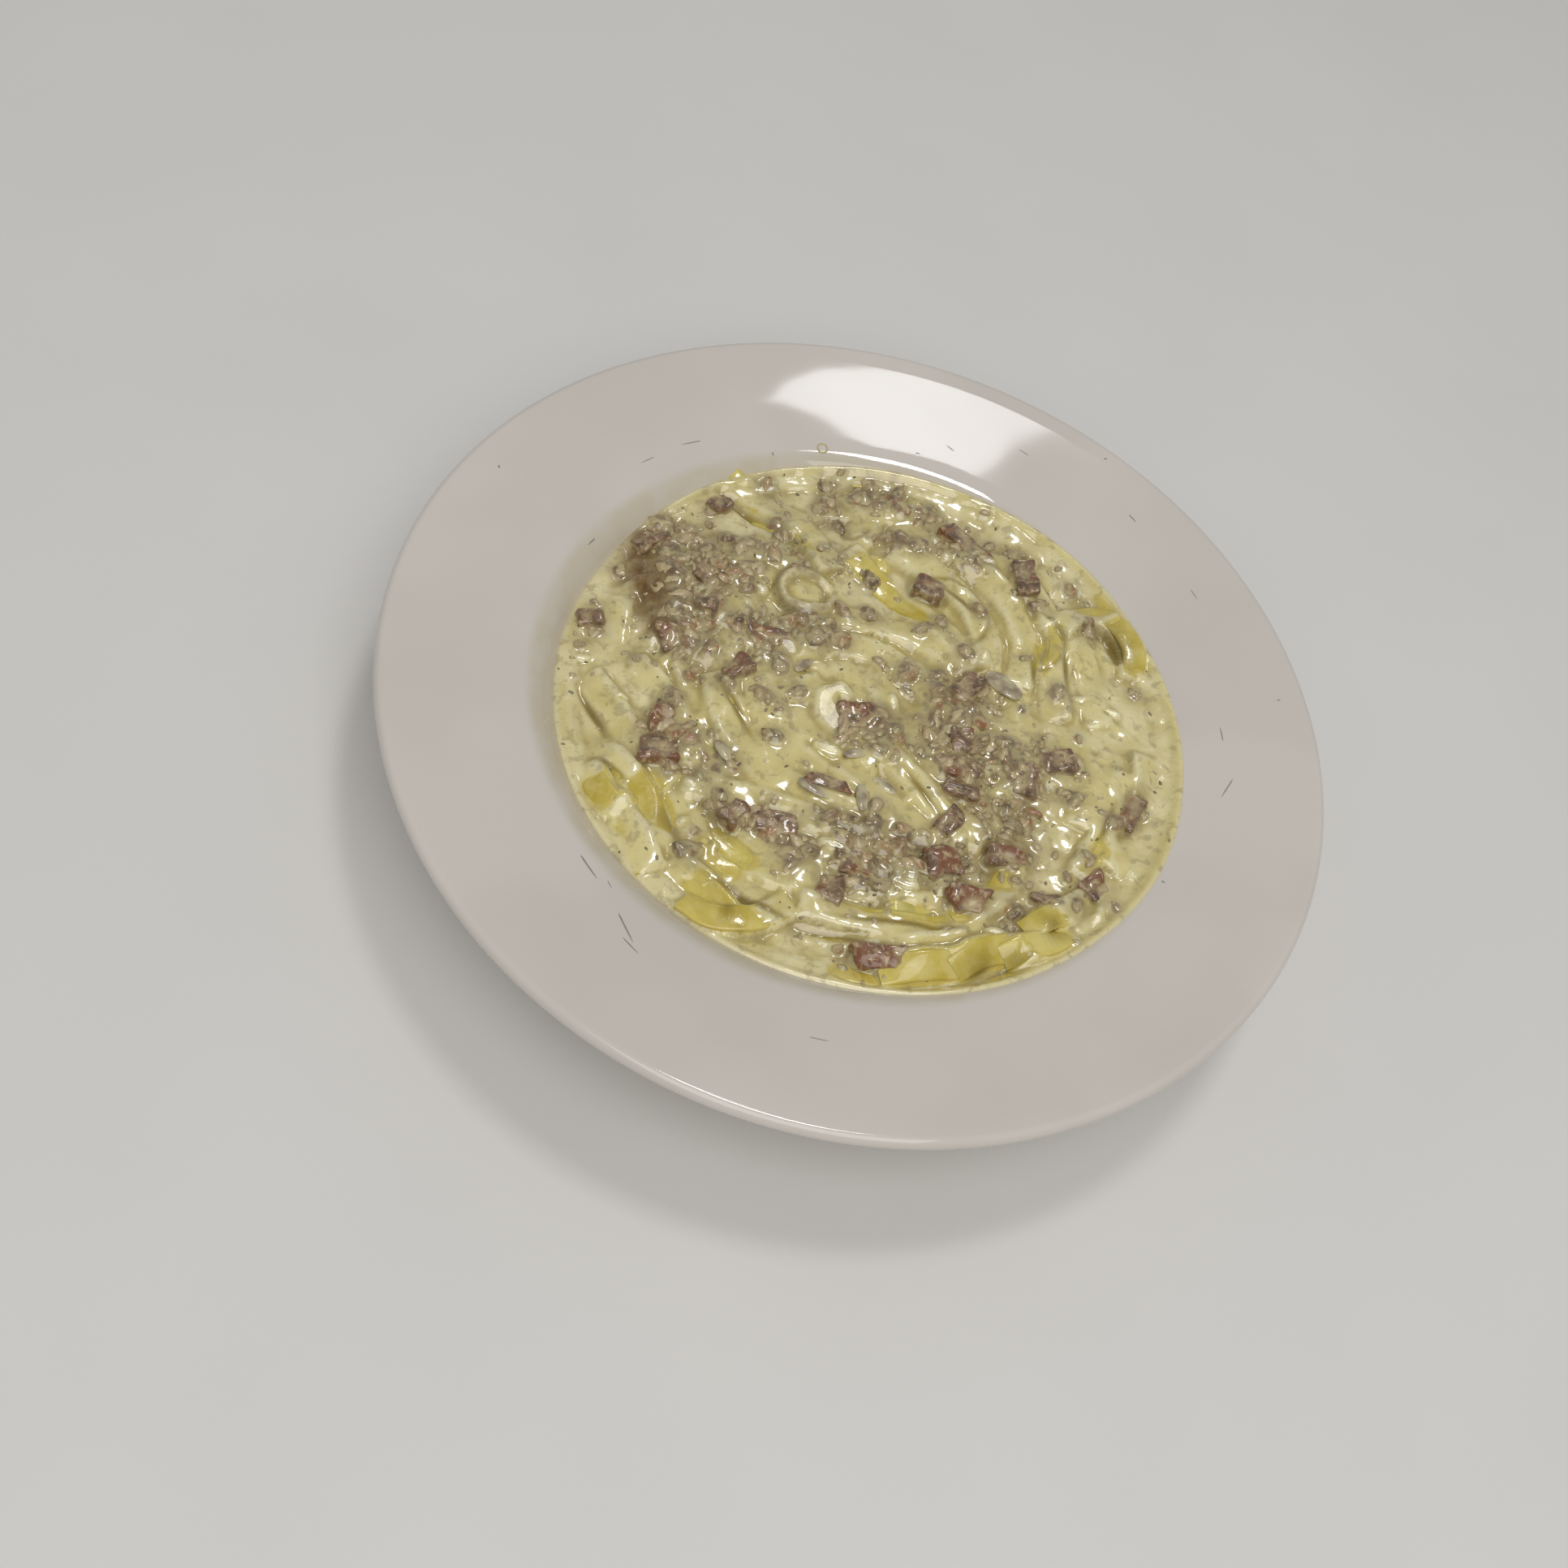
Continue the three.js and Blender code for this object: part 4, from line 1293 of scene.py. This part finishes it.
# %% Bacon
meat = Finish("browned bacon", Roughness=0.36, IOR=1.42, Subsurface_Weight=0.1, Subsurface_Scale=1.0 * MM,
              Coat_Weight=0.9, Coat_Roughness=0.08)
brown = meat.mix(meat.span(meat.noise(4, 3, 0.6), 0.35, 0.65), colour(100, 76, 55), colour(144, 114, 86))
brown = meat.mix(meat.span(meat.noise(9, 2), 0.5, 0.62), brown, colour(130, 82, 50))
fat = meat.span(meat.noise(3.2, 2, 0.5, 1.4), 0.58, 0.66, 0.0, 0.7)
meat_body = meat.mix(fat, brown, colour(200, 172, 144))
film_share = meat.part("cream", meat.span(meat.noise(2.4, 3), 0.3, 0.6, 0.45, 0.95))
film_share = meat.math("MAXIMUM", film_share, meat.span(meat.noise(2.6, 4, 0.6), 0.48, 0.68, 0.0, 0.7))
meat.feed(Base_Color=meat.mix(film_share, meat_body, colour(196, 178, 132)))
meat.bump(meat.noise(1.0, 4, 0.6), 0.3)
for piece in bacon_pieces:
    piece.data.materials.append(meat.material)

crumb = Finish("bacon crumb", Roughness=0.34, IOR=1.42, Coat_Weight=0.9, Coat_Roughness=0.08)
tone = crumb.attribute("tone")
crumb_body = crumb.mix(crumb.span(tone, 0.15, 0.5), colour(92, 68, 48), colour(140, 110, 80))
crumb_body = crumb.mix(crumb.span(tone, 0.62, 0.7), crumb_body, colour(148, 90, 54))
crumb_body = crumb.mix(crumb.span(tone, 0.84, 0.9), crumb_body, colour(190, 162, 134))
smeared = crumb.span(crumb.noise(2.2, 3), 0.42, 0.64, 0.05, 0.75)
crumb_film = crumb.math("MAXIMUM", crumb.part("cream", 0.85), smeared)
crumb.feed(Base_Color=crumb.mix(crumb_film, crumb_body, colour(198, 184, 136)))
crumb.bump(crumb.noise(0.9, 3, 0.6), 0.2)
for piece in (bit_mesh, crumb_mesh):
    piece.data.materials.append(crumb.material)

shard = Finish("pale shard", Roughness=0.3, IOR=1.42, Subsurface_Weight=0.15, Subsurface_Scale=1.0 * MM,
               Coat_Weight=1.0, Coat_Roughness=0.05)
clouded = shard.span(shard.noise(3.5, 3), 0.35, 0.65)
shard_body = shard.mix(clouded, colour(146, 130, 106), colour(192, 180, 146))
shard.feed(Base_Color=shard.mix(shard.attribute("cream"), shard_body, colour(214, 204, 160)))
shard_mesh.data.materials.append(shard.material)

fleck = Finish("herb and pepper fleck", Roughness=0.45)
fleck_tone = fleck.attribute("tone")
fleck_body = fleck.mix(fleck.span(fleck_tone, 0.3, 0.7), colour(124, 112, 84), colour(152, 138, 106))
fleck.feed(Base_Color=fleck_body)
fleck_mesh.data.materials.append(fleck.material)

mark = Finish("grey mark", Roughness=0.4)
mark.feed(Base_Color=mark.mix(mark.attribute("tone"), colour(140, 136, 130), colour(168, 163, 156)))
mark_mesh.data.materials.append(mark.material)
oil = Finish("yellow oil", Roughness=0.06, IOR=1.46, Coat_Weight=0.5, Coat_Roughness=0.04)
oil.feed(Base_Color=oil.mix(oil.noise(2, 2), colour(196, 180, 120), colour(206, 194, 144)))
oil_ring.data.materials.append(oil.material)

# %% [markdown]
# ## Table, light and camera
# The table is plain and pale. One wide soft light stands in front of the plate and above it. Two smaller
# lamps behind the plate give the white patch on the rim and the glints on the cream, and a pale sky fills
# the shadows.

# %% Table
deselect()
bpy.ops.mesh.primitive_plane_add(size=6, location=(0, 0, 0))
table = added("pale_table")
table_finish = Finish("pale table", Roughness=0.7)
table_tone = table_finish.mix(table_finish.noise(90, 2), colour(222, 220, 216), colour(228, 226, 222))
table_finish.feed(Base_Color=table_tone)
table.data.materials.append(table_finish.material)


# %% Lights
def area_light(name, place, aim, width, height, power, tint=(1, 1, 1)):
    light = bpy.data.lights.new(name, "AREA")
    light.shape = "RECTANGLE"
    light.size = width
    light.size_y = height
    light.energy = power
    light.color = tint
    lamp = bpy.data.objects.new(name, light)
    lamp.location = Vector(place)
    lamp.rotation_euler = (Vector(place) - Vector(aim)).to_track_quat("Z", "Y").to_euler()
    bpy.context.scene.collection.objects.link(lamp)


area_light("soft_overhead", (0.3, -0.95, 1.6), (0, 0, 0.04), 1.4, 1.4, 14.8, (1.0, 0.985, 0.96))
area_light("far_lamp", LAMP * MM, (0, 0.1, 0.04), 0.1, 0.17, 0.44)
area_light("glint_lamp", (0.12, 0.6, 2.3), (0, 0, 0.04), 0.4, 0.4, 9.0)
world = bpy.data.worlds.new("pale sky")
world.use_nodes = True
world.node_tree.nodes["Background"].inputs["Color"].default_value = (0.96, 0.97, 1.0, 1)
world.node_tree.nodes["Background"].inputs["Strength"].default_value = 0.3
bpy.context.scene.world = world
bpy.context.scene.view_settings.view_transform = "Standard"

# %% Camera
CAMERA_DISTANCE = 0.55
CAMERA_ELEVATION = math.radians(50.74)
CAMERA_ROLL = math.radians(-22.70)
CAMERA_PAN = math.radians(2.789)
CAMERA_TIP = math.radians(3.176)
LENS = 40.696


def camera_matrix():
    back = Vector((0, -math.cos(CAMERA_ELEVATION), math.sin(CAMERA_ELEVATION)))
    right = Vector((1, 0, 0))
    up = back.cross(right)
    look = Matrix((right, up, back))
    turn = Matrix.Rotation(CAMERA_ROLL, 3, "Z")
    pan = Matrix.Rotation(-CAMERA_PAN, 3, "Y")
    tip = Matrix.Rotation(CAMERA_TIP, 3, "X")
    place = Vector((0, 0, PLATE_HEIGHT * MM)) + back * CAMERA_DISTANCE
    return Matrix.Translation(place) @ (tip @ pan @ turn @ look).transposed().to_4x4()


camera_data = bpy.data.cameras.new("camera")
camera_data.lens = LENS
camera_data.sensor_width = 36
camera_data.clip_start = 0.01
camera = bpy.data.objects.new("camera", camera_data)
camera.matrix_world = camera_matrix()
bpy.context.scene.collection.objects.link(camera)
bpy.context.scene.camera = camera
